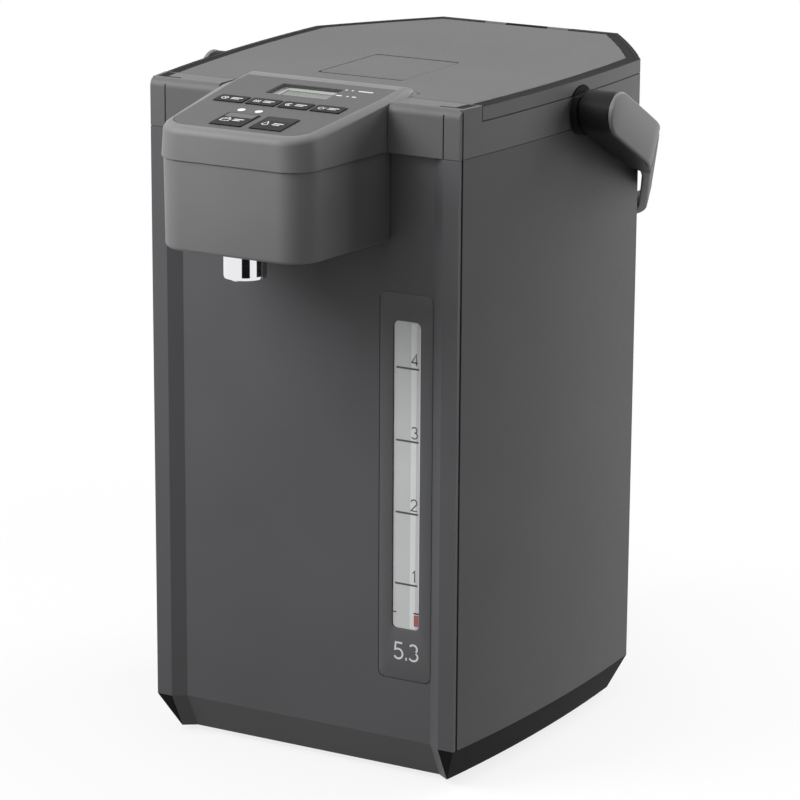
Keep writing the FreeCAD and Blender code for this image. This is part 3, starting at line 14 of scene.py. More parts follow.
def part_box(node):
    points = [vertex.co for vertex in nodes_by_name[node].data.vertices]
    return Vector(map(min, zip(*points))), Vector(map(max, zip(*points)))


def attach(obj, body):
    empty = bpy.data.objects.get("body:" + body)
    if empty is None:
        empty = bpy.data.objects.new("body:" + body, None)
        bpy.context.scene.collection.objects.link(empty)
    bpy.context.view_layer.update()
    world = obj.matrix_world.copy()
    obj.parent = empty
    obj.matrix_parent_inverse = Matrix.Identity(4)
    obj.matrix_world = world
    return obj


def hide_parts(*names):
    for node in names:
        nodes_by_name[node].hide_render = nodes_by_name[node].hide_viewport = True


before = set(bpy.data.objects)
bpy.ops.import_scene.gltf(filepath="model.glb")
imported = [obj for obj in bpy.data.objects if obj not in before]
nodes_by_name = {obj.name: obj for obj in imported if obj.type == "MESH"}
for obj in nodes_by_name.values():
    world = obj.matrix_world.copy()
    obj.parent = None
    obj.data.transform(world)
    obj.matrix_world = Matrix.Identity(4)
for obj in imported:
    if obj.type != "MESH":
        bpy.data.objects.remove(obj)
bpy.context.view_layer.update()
MM = 0.001                                       # metres in a millimetre

# Camera, solved from the photograph's edges and vanishing directions
CAMERA_TURN, CAMERA_DIP, CAMERA_ROLL = 29.01, 15.70, 0.41      # degrees
CAMERA_PLACE = (1.0053, -1.8208, 0.7474)         # metres
CAMERA_LENS, CAMERA_SENSOR = 164.61, 36.0
CAMERA_SHIFT = (-0.0155, 0.0415)

# Handle, drawn in its own plane: x, reach from the pivot, and height across that plane
HANDLE_TILT = 27.5                               # degrees below the horizontal at rest
HANDLE_REACH = 188.0
pin_low, pin_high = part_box("handle_pins")
PIVOT_Y, PIVOT_Z = [(low + high) / 2 / MM for low, high in zip(pin_low[1:], pin_high[1:])]
HUB_R = 12.5
ARM_OUT_X, ARM_IN_X = 134.4, 112.9
ARM_TAPER = 0.021                                # inward draw of the outer face for each millimetre of reach
ARM_BEND = (133.0, 54.5)                         # where the outer edge turns in towards the blade
ARM_BEND_R, BLADE_BEND_R = 40.0, 58.0
BLADE_HALF = 74.0                                # half of the blade's straight run
BLADE_THICK, GRIP_EXTRA = 5.0, 4.0
GRIP_HALF, GRIP_EASE = 70.0, 12.0                # half width of the thicker grip, and where it grows
BLADE_FROM, BLADE_FULL = 62.0, 78.0              # reach where the arm's inner face leaves for the blade
CUT_FROM, CUT_FULL, CUT_DEPTH = 75.0, 170.0, 11.5              # cut above the blade
COVER_END, COVER_THICK = 64.0, 2.6
COVER_LAP, COVER_SINK, COVER_INSET = 2.5, 0.1, 0.4
BAIL_EDGE_R, COVER_EDGE_R = 1.4, 1.2

# Level gauge on the front
PANEL_FACE_Y = -130.0
GAUGE_X, GAUGE_Z = (47.2, 80.3), (60.0, 282.3)
GAUGE_FACE_Y, GAUGE_BACK_Y, GAUGE_CORNER = -130.4, -126.5, 4.0
PANE_X, PANE_Z = (55.6, 72.6), (89.7, 266.6)
PANE_FACE_Y, PANE_BACK_Y, PANE_CORNER = -129.6, -127.6, 3.0
MARK_Z, MARK_STEP, MARK_COUNT = 116.0, 41.4, 4
FIGURE_TALL, CAPACITY_TALL = 6.5, 9.4
REFILL_Z, REFILL_TALL = MARK_Z - 20.5, 6.6

# Nose
NOSE_FRONT_Y, NOSE_REAR_Y = -213.0, -101.2
NOSE_FRONT_HALF, NOSE_ROOT_HALF = 47.0, 54.0
NOSE_CORNER, NOSE_EDGE = 18.0, 4.0
NOSE_STEP = 0.8                                  # the lower cover stands back by this
NOSE_DRAFT = 0.096                               # half width lost at the root for each millimetre of height
ROOT_Y, DECK_Y = -130.0, -117.9
SEAM_Z, COVER_FOOT_Z, COVER_LEAN = 360.0, 310.5, 1.2
DECK_Z, LID_TOP_Z = 378.3, 386.8
SPOUT_Y, SPOUT_R, SPOUT_BORE_R = -194.0, 11.8, 8.4
SPOUT_FOOT_Z, SPOUT_TOP_Z, SPOUT_DEEP_Z = 296.5, 318.0, 309.0

# Control panel, drawn on its slope: x, distance up the slope, and lift above it
PANEL_FOOT_Z = 378.0
PANEL_RISE = atan2(13.5, 112.0)
SHEET_FRONT, SHEET_KINK, SHEET_REAR = 7.0, 83.6, 100.4
SHEET_END_Y = -113.3
SHEET_FRONT_HALF, SHEET_WIDENING, SHEET_CORNER, SHEET_THICK = 42.0, 5.4, 13.0, 0.8
KEY_PROUD = 0.5
SMALL_KEYS, SMALL_KEY_STEP, SMALL_KEY_UP = ("timer", "warm", "saving", "reboil"), 20.2, 56.0
LARGE_KEYS, LARGE_KEY_UP = {"unlock": -8.3, "pour": 16.3}, 23.0
SMALL_KEY_HOLE, LARGE_KEY_HOLE, DISPLAY_HOLE = (9.3, 5.55), (10.05, 10.8), (19.15, 9.65)      # half sizes
DISPLAY_UP, DISPLAY_HALF, GLASS_HALF = 82.0, (19.0, 9.5), (14.8, 7.0)
LEDGE_DEEP, GLASS_DEEP, DISPLAY_DEEP = 2.1, 2.9, 3.9


def place_camera():
    """Camera axes from turn, dip and roll: back is the unit vector from the object to the camera."""
    turn, dip, roll = radians(CAMERA_TURN), radians(CAMERA_DIP), radians(CAMERA_ROLL)
    back = Vector((sin(turn) * cos(dip), -cos(turn) * cos(dip), sin(dip)))
    level = Vector((cos(turn), sin(turn), 0.0))
    raised = back.cross(level)
    right = level * cos(roll) + raised * sin(roll)
    up = raised * cos(roll) - level * sin(roll)
    data = bpy.data.cameras.new("camera")
    data.sensor_width = CAMERA_SENSOR
    data.lens = CAMERA_LENS
    data.shift_x, data.shift_y = CAMERA_SHIFT
    data.clip_start, data.clip_end = 0.1, 100.0
    camera = bpy.data.objects.new("camera", data)
    axes = Matrix((right, up, back)).transposed().to_4x4()
    camera.matrix_world = Matrix.Translation(CAMERA_PLACE) @ axes
    bpy.context.scene.collection.objects.link(camera)
    bpy.context.scene.camera = camera


# Finishes
def linear(level):
    """Linear value of a display level from 0 to 255, by the sRGB curve."""
    share = level / 255.0
    return share / 12.92 if share <= 0.04045 else ((share + 0.055) / 1.055) ** 2.4


def tint(red, green, blue):
    return (linear(red), linear(green), linear(blue), 1.0)


def shaded(colour, share):
    return tuple(part * share for part in colour[:3]) + (1.0,)


def noise_of(nodes, links, scale, detail, stretch=(1.0, 1.0, 1.0)):
    """Noise on Object coordinates, with a Mapping node for a grain that runs one way."""
    coordinates = nodes.new("ShaderNodeTexCoord")
    mapping = nodes.new("ShaderNodeMapping")
    mapping.inputs["Scale"].default_value = stretch
    noise = nodes.new("ShaderNodeTexNoise")
    noise.inputs["Scale"].default_value = scale
    noise.inputs["Detail"].default_value = detail
    links.new(coordinates.outputs["Object"], mapping.inputs["Vector"])
    links.new(mapping.outputs["Vector"], noise.inputs["Vector"])
    return noise.outputs["Fac"]


def spread(nodes, links, factor, low, high):
    """The factor, mostly 0.3 to 0.7, mapped to a span of values."""
    span = nodes.new("ShaderNodeMapRange")
    span.inputs["From Min"].default_value = 0.3
    span.inputs["From Max"].default_value = 0.7
    span.inputs["To Min"].default_value = low
    span.inputs["To Max"].default_value = high
    links.new(factor, span.inputs["Value"])
    return span.outputs["Result"]


def two_tones(nodes, links, factor, first, second):
    mix = nodes.new("ShaderNodeMix")
    mix.data_type = "RGBA"
    mix.inputs["A"].default_value = first
    mix.inputs["B"].default_value = second
    links.new(factor, mix.inputs["Factor"])
    return mix.outputs["Result"]


finishes = {}


def moulded(name, colour, roughness, specular=0.35, grain=1400.0, depth=0.00003, metallic=0.0,
            stretch=(1.0, 1.0, 1.0), gloss_spread=0.06):
    """Moulded or painted skin: a fine grain as bump and in the gloss, and slow cloudiness in the colour."""
    material = bpy.data.materials.new(name)
    material.use_nodes = True
    nodes, links = material.node_tree.nodes, material.node_tree.links
    skin = nodes["Principled BSDF"]
    skin.inputs["Specular IOR Level"].default_value = specular
    skin.inputs["Metallic"].default_value = metallic
    fine = noise_of(nodes, links, grain, 3.0, stretch)
    cloud = spread(nodes, links, noise_of(nodes, links, 14.0, 2.0), 0.0, 1.0)
    tone = two_tones(nodes, links, cloud, shaded(colour, 0.95), shaded(colour, 1.05))
    gloss = spread(nodes, links, fine, roughness - gloss_spread, roughness + gloss_spread)
    links.new(tone, skin.inputs["Base Color"])
    links.new(gloss, skin.inputs["Roughness"])
    bump = nodes.new("ShaderNodeBump")
    bump.inputs["Strength"].default_value = 1.0
    bump.inputs["Distance"].default_value = depth
    links.new(fine, bump.inputs["Height"])
    links.new(bump.outputs["Normal"], skin.inputs["Normal"])
    finishes[name] = material
    return material


def sheet_metal(name, colour, roughness):
    """Painted or moulded wall of the pot, with a slightly coarser grain than the small parts."""
    moulded(name, colour, roughness, specular=0.2, grain=900.0, depth=0.00004)


def ink(name, colour, roughness=0.5, specular=0.2):
    moulded(name, colour, roughness, specular=specular, depth=0.00001)


def clear_pane(name, colour, alpha, roughness):
    """Clear moulding seen as a thin film: mostly see-through, with a gloss of its own."""
    material = moulded(name, colour, roughness, specular=0.5, depth=0.000004, gloss_spread=0.02)
    material.node_tree.nodes["Principled BSDF"].inputs["Alpha"].default_value = alpha
    material.surface_render_method = "BLENDED"


def make_finishes():
    """Every finish of the pot, its colour written as display levels."""
    moulded("satin_grey", tint(118, 118, 119), 0.48, specular=0.2)
    moulded("lid_grey", tint(92, 92, 92), 0.5, specular=0.12)
    moulded("frame_grey", tint(96, 96, 97), 0.48, specular=0.2)
    sheet_metal("panel_grey", tint(88, 88, 90), 0.5)
    sheet_metal("shell_grey", tint(84, 84, 84), 0.46)
    moulded("black_moulding", tint(30, 30, 31), 0.5, specular=0.1)
    moulded("rim_black", tint(14, 14, 14), 0.62, specular=0.06)
    moulded("skirt_black", tint(20, 20, 21), 0.6, specular=0.04)
    moulded("key_sheet", tint(84, 84, 84), 0.5, specular=0.2, grain=2200.0, depth=0.00002)
    moulded("key_black", tint(16, 16, 17), 0.5, specular=0.12, grain=2600.0, depth=0.00002)
    moulded("pale_plastic", tint(225, 225, 222), 0.45, specular=0.3)
    moulded("chrome", tint(235, 235, 238), 0.08, metallic=1.0, grain=300.0, depth=0.000002,
            gloss_spread=0.02)
    moulded("brushed_steel", tint(190, 190, 192), 0.28, metallic=1.0, grain=900.0, depth=0.00001,
            stretch=(0.05, 0.05, 1.0))
    moulded("rubber", tint(45, 45, 46), 0.75, specular=0.2)
    moulded("silicone", tint(196, 194, 188), 0.55, specular=0.3)
    moulded("circuit_board", tint(36, 92, 58), 0.5, specular=0.4, grain=500.0)
    moulded("copper", tint(196, 128, 96), 0.3, metallic=1.0)
    moulded("dark_steel", tint(120, 120, 122), 0.35, metallic=1.0)
    clear_pane("window", tint(226, 227, 227), 0.84, 0.22)
    clear_pane("glass_tube", tint(235, 238, 240), 0.35, 0.1)
    clear_pane("display_pane", tint(120, 125, 130), 0.12, 0.08)
    moulded("lamp_white", tint(232, 232, 228), 0.35)
    sheet_metal("frame_panel", tint(92, 92, 94), 0.46)
    moulded("handle_black", tint(36, 36, 36), 0.42, specular=0.14)
    ink("print_grey", tint(92, 92, 92))
    ink("print_dark", tint(34, 34, 36), specular=0.15)
    ink("print_white", tint(225, 225, 225))
    ink("print_red", tint(170, 106, 106))
    # Pale ink for the painted reflection of the gauge tube on the pane.
    ink("painted_tube_reflection", tint(236, 238, 238), 0.3, specular=0.3)
    ink("display_green", tint(158, 164, 152), 0.3, specular=0.3)


NODE_FINISHES = {
    "satin_grey": ["nose_upper_housing", "nose_lower_cover", "handle_caps"],
    "lid_grey": ["lid_top_plate", "lid_lever"],
    "frame_grey": ["top_frame", "lid_side_trim"],
    "panel_grey": ["front_panel", "gauge_frame"],
    "shell_grey": ["side_shell"],
    "rim_black": ["lid_rim", "corner_trim_caps"],
    "skirt_black": ["base_skirt"],
    "black_moulding": ["handle_ears", "handle_bail", "base_plate", "turning_base", "power_inlet", "lid_latch",
                       "steam_valve", "lid_core", "container_support_ring", "pump_housing", "stop_valve"],
    "key_sheet": ["control_panel_sheet"],
    "key_black": ["key_timer", "key_warm", "key_saving", "key_reboil", "key_unlock", "key_pour"],
    "pale_plastic": ["gauge_backing"],
    "chrome": ["spout_nozzle"],
    "brushed_steel": ["inner_container", "container_mouth", "vacuum_jacket", "inner_lid", "heater_plate"],
    "dark_steel": ["pump_motor", "motor_magnet", "handle_pins", "lid_lever_pin", "lid_hinge_pin",
                   "base_screws", "thermostat_and_sensor"],
    "rubber": ["rubber_feet"],
    "silicone": ["container_flange_seal", "lid_gasket", "gauge_tube_seals", "pump_outlet_pipe", "spout_pipe",
                 "pump_impeller"],
    "circuit_board": ["control_board", "power_board"],
    "copper": ["inlet_pins"],
    "window": ["gauge_window"],
    "glass_tube": ["gauge_tube"],
    "display_pane": ["lcd_window"],
    "lamp_white": ["lamp_lenses", "lcd_module"],
}


def dress_nodes():
    """One finish on every solid; the lid's side trim is grey on its face and black on its upper edge."""
    for finish, members in NODE_FINISHES.items():
        for member in members:
            materials = nodes_by_name[member].data.materials
            materials.clear()
            materials.append(finishes[finish])
    trim = nodes_by_name["lid_side_trim"].data
    trim.materials.append(finishes["rim_black"])
    for face in trim.polygons:
        face.material_index = int(face.normal.z > 0.08)


# Surfaces
def unit(vectors):
    return vectors / np.linalg.norm(vectors, axis=-1, keepdims=True)


def eased(value, start, end):
    """Smooth step: 0 up to the start, 1 from the end on, and 3s^2 - 2s^3 of the share between them."""
    share = np.clip((value - start) / (end - start), 0, 1)
    return share * share * (3 - 2 * share)


def loop_faces(count, size, ring=False, first=0):
    """Quads between neighbouring loops of one closed surface, with end caps unless the loops make a ring."""
    faces = []
    for i in range(count if ring else count - 1):
        here, there = first + i * size, first + (i + 1) % count * size
        for k in range(size):
            after = (k + 1) % size
            faces.append((here + k, here + after, there + after, there + k))
    if not ring:
        faces.append(tuple(range(first, first + size)))
        faces.append(tuple(range(first + (count - 1) * size, first + count * size)))
    return faces


def add_piece(name, points, faces, finish, body, edge=35.0):
    """Adds a closed surface given in millimetres: faces turned outwards, smooth up to the edge angle."""
    mesh = bpy.data.meshes.new(name)
    mesh.from_pydata([tuple(point) for point in np.asarray(points, float) * MM], [], faces)
    work = bmesh.new()
    work.from_mesh(mesh)
    bmesh.ops.recalc_face_normals(work, faces=work.faces)
    work.to_mesh(mesh)
    work.free()
    mesh.shade_smooth()
    mesh.set_sharp_from_angle(angle=radians(edge))
    mesh.materials.append(finishes[finish])
    obj = bpy.data.objects.new(name, mesh)
    bpy.context.scene.collection.objects.link(obj)
    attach(obj, body)
    return obj


def add_loops(name, loops, finish, body, edge=35.0, ring=False):
    faces = loop_faces(len(loops), len(loops[0]), ring)
    return add_piece(name, np.vstack(loops), faces, finish, body, edge)


def arc(x, y, rx, ry, start, end, steps=12):
    """Points of an elliptic arc, its angles in degrees."""
    turn = np.radians(np.linspace(start, end, steps))
    return np.column_stack([x + rx * np.cos(turn), y + ry * np.sin(turn)])


def rounded_path(corners, radii, steps=8):
    """A polyline whose inner corners are replaced by circular arcs of the given radii."""
    corners = np.asarray(corners, float)
    points = [corners[0]]
    shares = np.linspace(0, 1, steps + 1)
    for before, corner, after, radius in zip(corners[:-2], corners[1:-1], corners[2:], radii):
        back, ahead = unit(before - corner), unit(after - corner)
        if np.linalg.norm(back + ahead) < 1e-6:      # a straight corner keeps its points, side by side
            points.extend(corner + ahead * radius * (2 * share - 1) for share in shares)
            continue
        half = np.arccos(np.clip(back @ ahead, -1, 1)) / 2
        middle = corner + unit(back + ahead) * radius / np.sin(half)
        start, end = corner + back * radius / np.tan(half), corner + ahead * radius / np.tan(half)
        points.extend(middle + unit(start + (end - start) * share - middle) * radius for share in shares)
    return np.array(points + [corners[-1]])


def rounded_loop(corners, radii, steps=6):
    """The same for a closed outline: every corner is rounded, and the points run once round."""
    corners = np.asarray(corners, float)
    points = []
    for i, radius in enumerate(radii):
        bend = rounded_path([corners[i - 1], corners[i], corners[(i + 1) % len(corners)]], [radius], steps)
        points.extend(bend[1:-1])
    return np.array(points)


def rectangle(x0, x1, y0, y1):
    return [(x0, y0), (x1, y0), (x1, y1), (x0, y1)]


def printed(name, strokes, place, finish, body="pot", height=0.05):
    """Thin raised lines: each stroke is a path, a width and whether it closes.

    The path is widened to both sides with mitred corners, and place lays (x, y, lift) on a face of the pot.
    """
    points, faces = [], []
    for path, width, closed in strokes:
        path = np.asarray(path, float)
        if closed:
            before, after = np.roll(path, 1, 0), np.roll(path, -1, 0)
        else:
            before = np.vstack([2 * path[:1] - path[1:2], path[:-1]])
            after = np.vstack([path[1:], 2 * path[-1:] - path[-2:-1]])
        into, out = unit(path - before), unit(after - path)
        side = unit(np.column_stack([-into[:, 1] - out[:, 1], into[:, 0] + out[:, 0]]))
        mitre = 1 / np.maximum(side[:, 1] * into[:, 0] - side[:, 0] * into[:, 1], 0.5)
        shift = side * mitre[:, None] * width / 2
        first = len(points)
        for left, right in zip(path + shift, path - shift):
            points += [place(*left, height), place(*right, height), place(*right, 0), place(*left, 0)]
        faces += loop_faces(len(path), 4, closed, first)
    return add_piece(name, points, faces, finish, body, edge=30.0)


def level_line(x0, x1, y, width):
    return ([(x0, y), (x1, y)], width, False)


def upright_line(x, y0, y1, width):
    return ([(x, y0), (x, y1)], width, False)


# Handle
def in_handle(x, reach, across):
    """From the handle's own plane (x, reach, across) to its rest behind the pot."""
    tilt = radians(HANDLE_TILT)
    return (x, PIVOT_Y + reach * cos(tilt) + across * sin(tilt),
            PIVOT_Z - reach * sin(tilt) + across * cos(tilt))


def handle_line():
    """Outer edge of the handle in its plane, from the tip of one hub to the tip of the other."""
    steps = 10
    corners = [(ARM_OUT_X, -HUB_R), ARM_BEND, (BLADE_HALF, HANDLE_REACH), (0.0, HANDLE_REACH)]
    bends = rounded_path(corners, [ARM_BEND_R, BLADE_BEND_R], steps)
    tip = [(ARM_OUT_X, -HUB_R * cos(radians(90 * k / 8))) for k in range(9)]
    arm = [(ARM_OUT_X - ARM_TAPER * reach, reach) for reach in (8.0, 20.0, 32.0)]
    start, end = bends[steps + 1], bends[steps + 2]
    straight = [start + (end - start) * k / 8 for k in range(1, 8)]
    half = np.vstack([tip, arm, bends[1:steps + 2], straight, bends[steps + 2:]])
    return np.vstack([half, (half * (-1, 1))[-2::-1]])


def across_span(reach):
    """Lower and upper edge of the handle: round at the hub, full along the arm, cut away above the blade."""
    if reach < 0:
        half = max(np.sqrt(max(HUB_R ** 2 - reach ** 2, 0.0)), 0.6)
        return -half, half
    return -HUB_R, HUB_R - CUT_DEPTH * eased(reach, CUT_FROM, CUT_FULL)


def section(outer, inner, span, radius, steps=4):
    """Rounded rectangle between an outer and an inner point of the handle's plane, over a span across it."""
    outer, inner = np.asarray(outer), np.asarray(inner)
    centre, half = (span[0] + span[1]) / 2, (span[1] - span[0]) / 2
    middle, depth = (outer + inner) / 2, np.linalg.norm(outer - inner) / 2
    along = (outer - inner) / (2 * depth)
    bend = min(radius, 0.9 * depth, 0.9 * half)
    points = []
    for start, sx, sy in ((0, 1, 1), (90, -1, 1), (180, -1, -1), (270, 1, -1)):
        for u, v in arc(sx * (depth - bend), sy * (half - bend), bend, bend, start, start + 90, steps):
            flat = middle + along * u
            points.append(in_handle(flat[0], flat[1], centre + v))
    return points


def bail_section(outer, inward):
    """One section of the bail: its inner point eases from the arm's flat inner face to the thin blade."""
    side = 1 if outer[0] >= 0 else -1
    grip = BLADE_THICK + GRIP_EXTRA * np.clip((GRIP_HALF - abs(outer[0])) / GRIP_EASE, 0, 1)
    blade, arm = outer + inward * grip, np.array([side * ARM_IN_X, outer[1]])
    inner = arm + (blade - arm) * eased(outer[1], BLADE_FROM, BLADE_FULL)
    low, high = across_span(outer[1])
    if outer[1] >= COVER_END:
        return section(outer, inner, (low, high), BAIL_EDGE_R)
    inset = min(COVER_INSET, 0.5 * high)
    return section(outer - (side * COVER_THICK, 0), inner, (low + inset, high - inset), BAIL_EDGE_R)


def make_bail(line):
    """Black bail with deep arms and a bent blade between them, glossier along the blade."""
    run = np.abs(unit(np.gradient(line, axis=0)))
    past_arm = line[:, 1] > ARM_BEND[1] - 20
    inward = unit(np.column_stack([-np.sign(line[:, 0]) * run[:, 1], -run[:, 0] * past_arm]))
    loops = [bail_section(outer, into) for outer, into in zip(line, inward)]
    bail = add_loops("handle_loop", loops, "black_moulding", "handle")
    bail.data.materials.append(finishes["handle_black"])
    blade_y = in_handle(0, COVER_END + 3, 0)[1] * MM
    for face in bail.data.polygons:
        face.material_index = int(face.center.y > blade_y)
    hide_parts("handle_bail")


def make_arm_covers(line):
    """Grey cover on the outside of each arm, as deep as the arm and lapping over its end."""
    points, faces = [], []
    for side in (-1, 1):
        loops = []
        for outer in [p for p in line if p[0] * side > 0 and p[1] < COVER_END + COVER_LAP]:
            inner = outer - (side * (COVER_THICK - COVER_SINK), 0)
            loops.append(section(outer, inner, across_span(outer[1]), COVER_EDGE_R))
        faces += loop_faces(len(loops), len(loops[0]), first=len(points))
        points += [point for loop in loops for point in loop]
    covers = add_piece("handle_arm_covers", points, faces, "satin_grey", "handle")
    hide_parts("handle_caps")


# Gauge
def digit(character):
    """Thin-stroke digits in a cell 0.6 wide and 1 tall, as paths."""
    shapes = {
        "1": [[(0.22, 0.8), (0.42, 1.0), (0.42, 0.0)]],
        "2": [np.vstack([arc(0.3, 0.71, 0.28, 0.28, 165, -35), [(0.02, 0.0), (0.6, 0.0)]])],
        "3": [arc(0.29, 0.75, 0.26, 0.25, 150, -85), arc(0.29, 0.27, 0.3, 0.27, 85, -150)],
        "4": [[(0.6, 0.27), (0.0, 0.27), (0.44, 1.0), (0.44, 0.0)]],
        "5": [np.vstack([[(0.56, 1.0), (0.12, 1.0), (0.07, 0.56)], arc(0.29, 0.31, 0.3, 0.31, 125, -150)])],
        ".": [[(0.12, 0.04), (0.22, 0.04)]],
    }
    return shapes[character]


def number(text, right, foot, tall, width):
    """Strokes of a number whose right edge and foot are given."""
    strokes, left = [], right
    for character in reversed(text):
        point = character == "."
        left -= tall * (0.36 if point else 0.66)
        for path in digit(character):
            strokes.append((np.asarray(path) * tall + (left, foot), width * (1.6 if point else 1), False))
    return strokes


def gauge_outline(inset):
    x, z = GAUGE_X, GAUGE_Z
    corners = rectangle(x[0] + inset, x[1] - inset, z[0] + inset, z[1] - inset)
    return rounded_loop(corners, [GAUGE_CORNER] * 4)


def pane_outline(grow):
    x, z = PANE_X, PANE_Z
    corners = rectangle(x[0] - grow, x[1] + grow, z[0] - grow, z[1] + grow)
    return rounded_loop(corners, [PANE_CORNER + grow] * 4)


def at_depths(outlines):
    """Loops of the front, each an outline in x and z at its own y."""
    return [[(x, y, z) for x, z in outline] for outline, y in outlines]


def on_gauge(x, z, lift):
    return (x, GAUGE_FACE_Y - lift, z)


def on_pane(x, z, lift):
    return (x, PANE_FACE_Y - lift, z)


def on_front(x, z, lift):
    return (x, PANEL_FACE_Y - lift, z)


def make_gauge():
    """Frame of the level gauge with softened edges, and its pane a little below the frame's face."""
    rings = [(gauge_outline(0), GAUGE_BACK_Y), (gauge_outline(0), GAUGE_FACE_Y + 0.35),
             (gauge_outline(0.12), GAUGE_FACE_Y + 0.1), (gauge_outline(0.35), GAUGE_FACE_Y),
             (pane_outline(0.3), GAUGE_FACE_Y), (pane_outline(0.08), GAUGE_FACE_Y + 0.1),
             (pane_outline(0), GAUGE_FACE_Y + 0.3), (pane_outline(0), GAUGE_BACK_Y)]
    surround = add_loops("gauge_surround", at_depths(rings), "frame_panel", "pot", ring=True)
    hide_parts("gauge_frame")
    levels = [(pane_outline(-0.1), PANE_BACK_Y), (pane_outline(-0.1), PANE_FACE_Y + 0.2),
              (pane_outline(-0.3), PANE_FACE_Y)]
    pane = add_loops("gauge_pane", at_depths(levels), "window", "pot")
    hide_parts("gauge_window")


def make_gauge_prints():
    """Plain numbers, marks and lines on the pane with a painted tube reflection, the plain capacity figure, and
    the seam round the frame.
    """
    left, right = PANE_X
    low, high = PANE_Z
    lines, figures = [], []
    for place in range(MARK_COUNT):
        level = MARK_Z + MARK_STEP * place
        lines.append(level_line(left + 1.6, right - 1.2, level, 1.1))
        figures += number(str(place + 1), right - 1.5, level + 1.9, FIGURE_TALL, 0.75)
    lines.append(level_line(left + 0.2, left + 2.4, REFILL_Z + 3.5, 0.8))
    printed("gauge_lines", lines, on_pane, "print_grey")
    printed("gauge_figures", figures, on_pane, "print_grey")
    # Painted reflection of the gauge tube: a pale stripe near the pane's right edge, and a thin bright line
    # along that edge.
    stripes = [upright_line(right - 4.4, low + 1.0, high - 1.0, 3.4),
               upright_line(right - 0.5, low + 3.0, high - 3.0, 0.35)]
    printed("gauge_tube_reflection", stripes, on_pane, "painted_tube_reflection", height=0.02)
    refill = level_line(right - 3.4, right - 0.4, REFILL_Z, REFILL_TALL)
    printed("gauge_refill_mark", [refill], on_pane, "print_red")
    refill_line = level_line(right - 3.6, right - 0.2, REFILL_Z + 4.3, 0.8)
    printed("gauge_refill_line", [refill_line], on_pane, "print_dark")
    capacity = number("5.3", right + 0.3, GAUGE_Z[0] + 12.0, CAPACITY_TALL, 1.1)
    printed("capacity_figures", capacity, on_gauge, "print_white")
    bend = arc(GAUGE_X[0] + 4.0, GAUGE_Z[0] + 4.0, 4.2, 4.2, 180, 265, 8)
    seam = np.vstack([[(GAUGE_X[0] - 0.2, GAUGE_Z[1] - 3.0)], bend])
    printed("gauge_seam", [(seam, 0.7, False)], on_front, "print_dark", height=0.1)


# Control panel
def on_panel(x, up, lift):
    """From the sloping panel's own plane (x, distance up the slope, height) to the pot."""
    return (x, NOSE_FRONT_Y + up * cos(PANEL_RISE) - lift * sin(PANEL_RISE),
            PANEL_FOOT_Z + up * sin(PANEL_RISE) + lift * cos(PANEL_RISE))


def on_key(x, up, lift):
    return on_panel(x, up, KEY_PROUD + lift)


def on_glass(x, up, lift):
    return on_panel(x, up, lift - GLASS_DEEP)


def small_key_x(place):
    return (place - 1.5) * SMALL_KEY_STEP


def moved(strokes, x, up, size=1.0):
    return [(np.asarray(path, float) * size + (x, up), width, closed) for path, width, closed in strokes]


def icon(name):
    """Plain pictograms about 4 mm across, each a few strokes around its own middle."""
    line = 0.55
    drop = np.vstack([arc(0, -0.5, 1.4, 1.4, 200, 340), [(0, 2.2)]])
    icons = {
        "timer": [(arc(0, 0, 1.9, 1.9, 0, 345, 20), line, True), ([(0, 1.2), (0, 0), (0.9, 0)], line, False)],
        "warm": [([(x, -1.9), (x + 0.4, -0.9), (x - 0.1, 0), (x + 0.4, 0.9), (x, 1.9)], line, False)
                 for x in (-1.6, -0.1, 1.4)],
        "saving": [(arc(0, 0, 1.9, 1.9, 40, 320, 16), line, False),
                   (arc(0.9, 0, 1.4, 1.5, 70, 290, 12), line, False)],
        "reboil": [(arc(0, 0, 1.7, 1.7, 60, 370, 18), line, False),
                   ([(0.6, 0.5), (1.75, 0.3), (2.5, 1.3)], line, False)],
        "unlock": [(rectangle(-1.9, 1.9, -2.2, 0.4), line, True),
                   (arc(0, 0.6, 1.2, 1.5, 200, 20), line, False)],
        "pour": [(drop, line, True)],
    }
    return icons[name]


def make_key_prints():
    """White pictogram and bars on each key, a patch on the large keys, and plain marks beside the display."""
    small_bars = [level_line(0.2, 6.6, 1.3, 0.9), level_line(0.2, 5.4, -0.7, 0.9)]
    for place, name in enumerate(SMALL_KEYS):
        x = small_key_x(place)
        strokes = moved(icon(name), x - 4.4, SMALL_KEY_UP) + moved(small_bars, x - 0.6, SMALL_KEY_UP)
        printed("mark_" + name, strokes, on_key, "print_white", f"key_{name}_body", 0.03)
    large_bars = [level_line(0.0, 6.0, 0.9, 1.1), level_line(0.0, 4.6, -1.3, 1.1)]
    patch_finishes = {"unlock": "frame_grey", "pour": "print_dark"}
    for name, x in LARGE_KEYS.items():
        body, middle = f"key_{name}_body", LARGE_KEY_UP - 1.0
        strokes = moved(icon(name), x - 4.6, middle, 1.35) + moved(large_bars, x - 0.2, middle)
        printed("mark_" + name, strokes, on_key, "print_white", body, 0.03)
        patch = level_line(x - 8.6, x + 8.6, LARGE_KEY_UP + 6.6, 6.4)
        printed("patch_" + name, [patch], on_key, patch_finishes[name], body, 0.02)
    upper, lower = DISPLAY_UP + 9.5, DISPLAY_UP - 1.0
    dots = [level_line(x, x + long, up, 1.3) for x, up, long in (
        (20.4, upper, 1.2), (24.2, upper, 1.2), (28.5, upper, 9.0),
        (20.4, lower, 3.6), (27.0, lower, 1.2), (30.4, lower, 2.4))]
    printed("display_marks", dots, on_panel, "print_white", height=0.03)


def display_loop(half_x, half_up, deep):
    outline = rectangle(-half_x, half_x, DISPLAY_UP - half_up, DISPLAY_UP + half_up)
    return [on_panel(x, up, -deep) for x, up in outline]


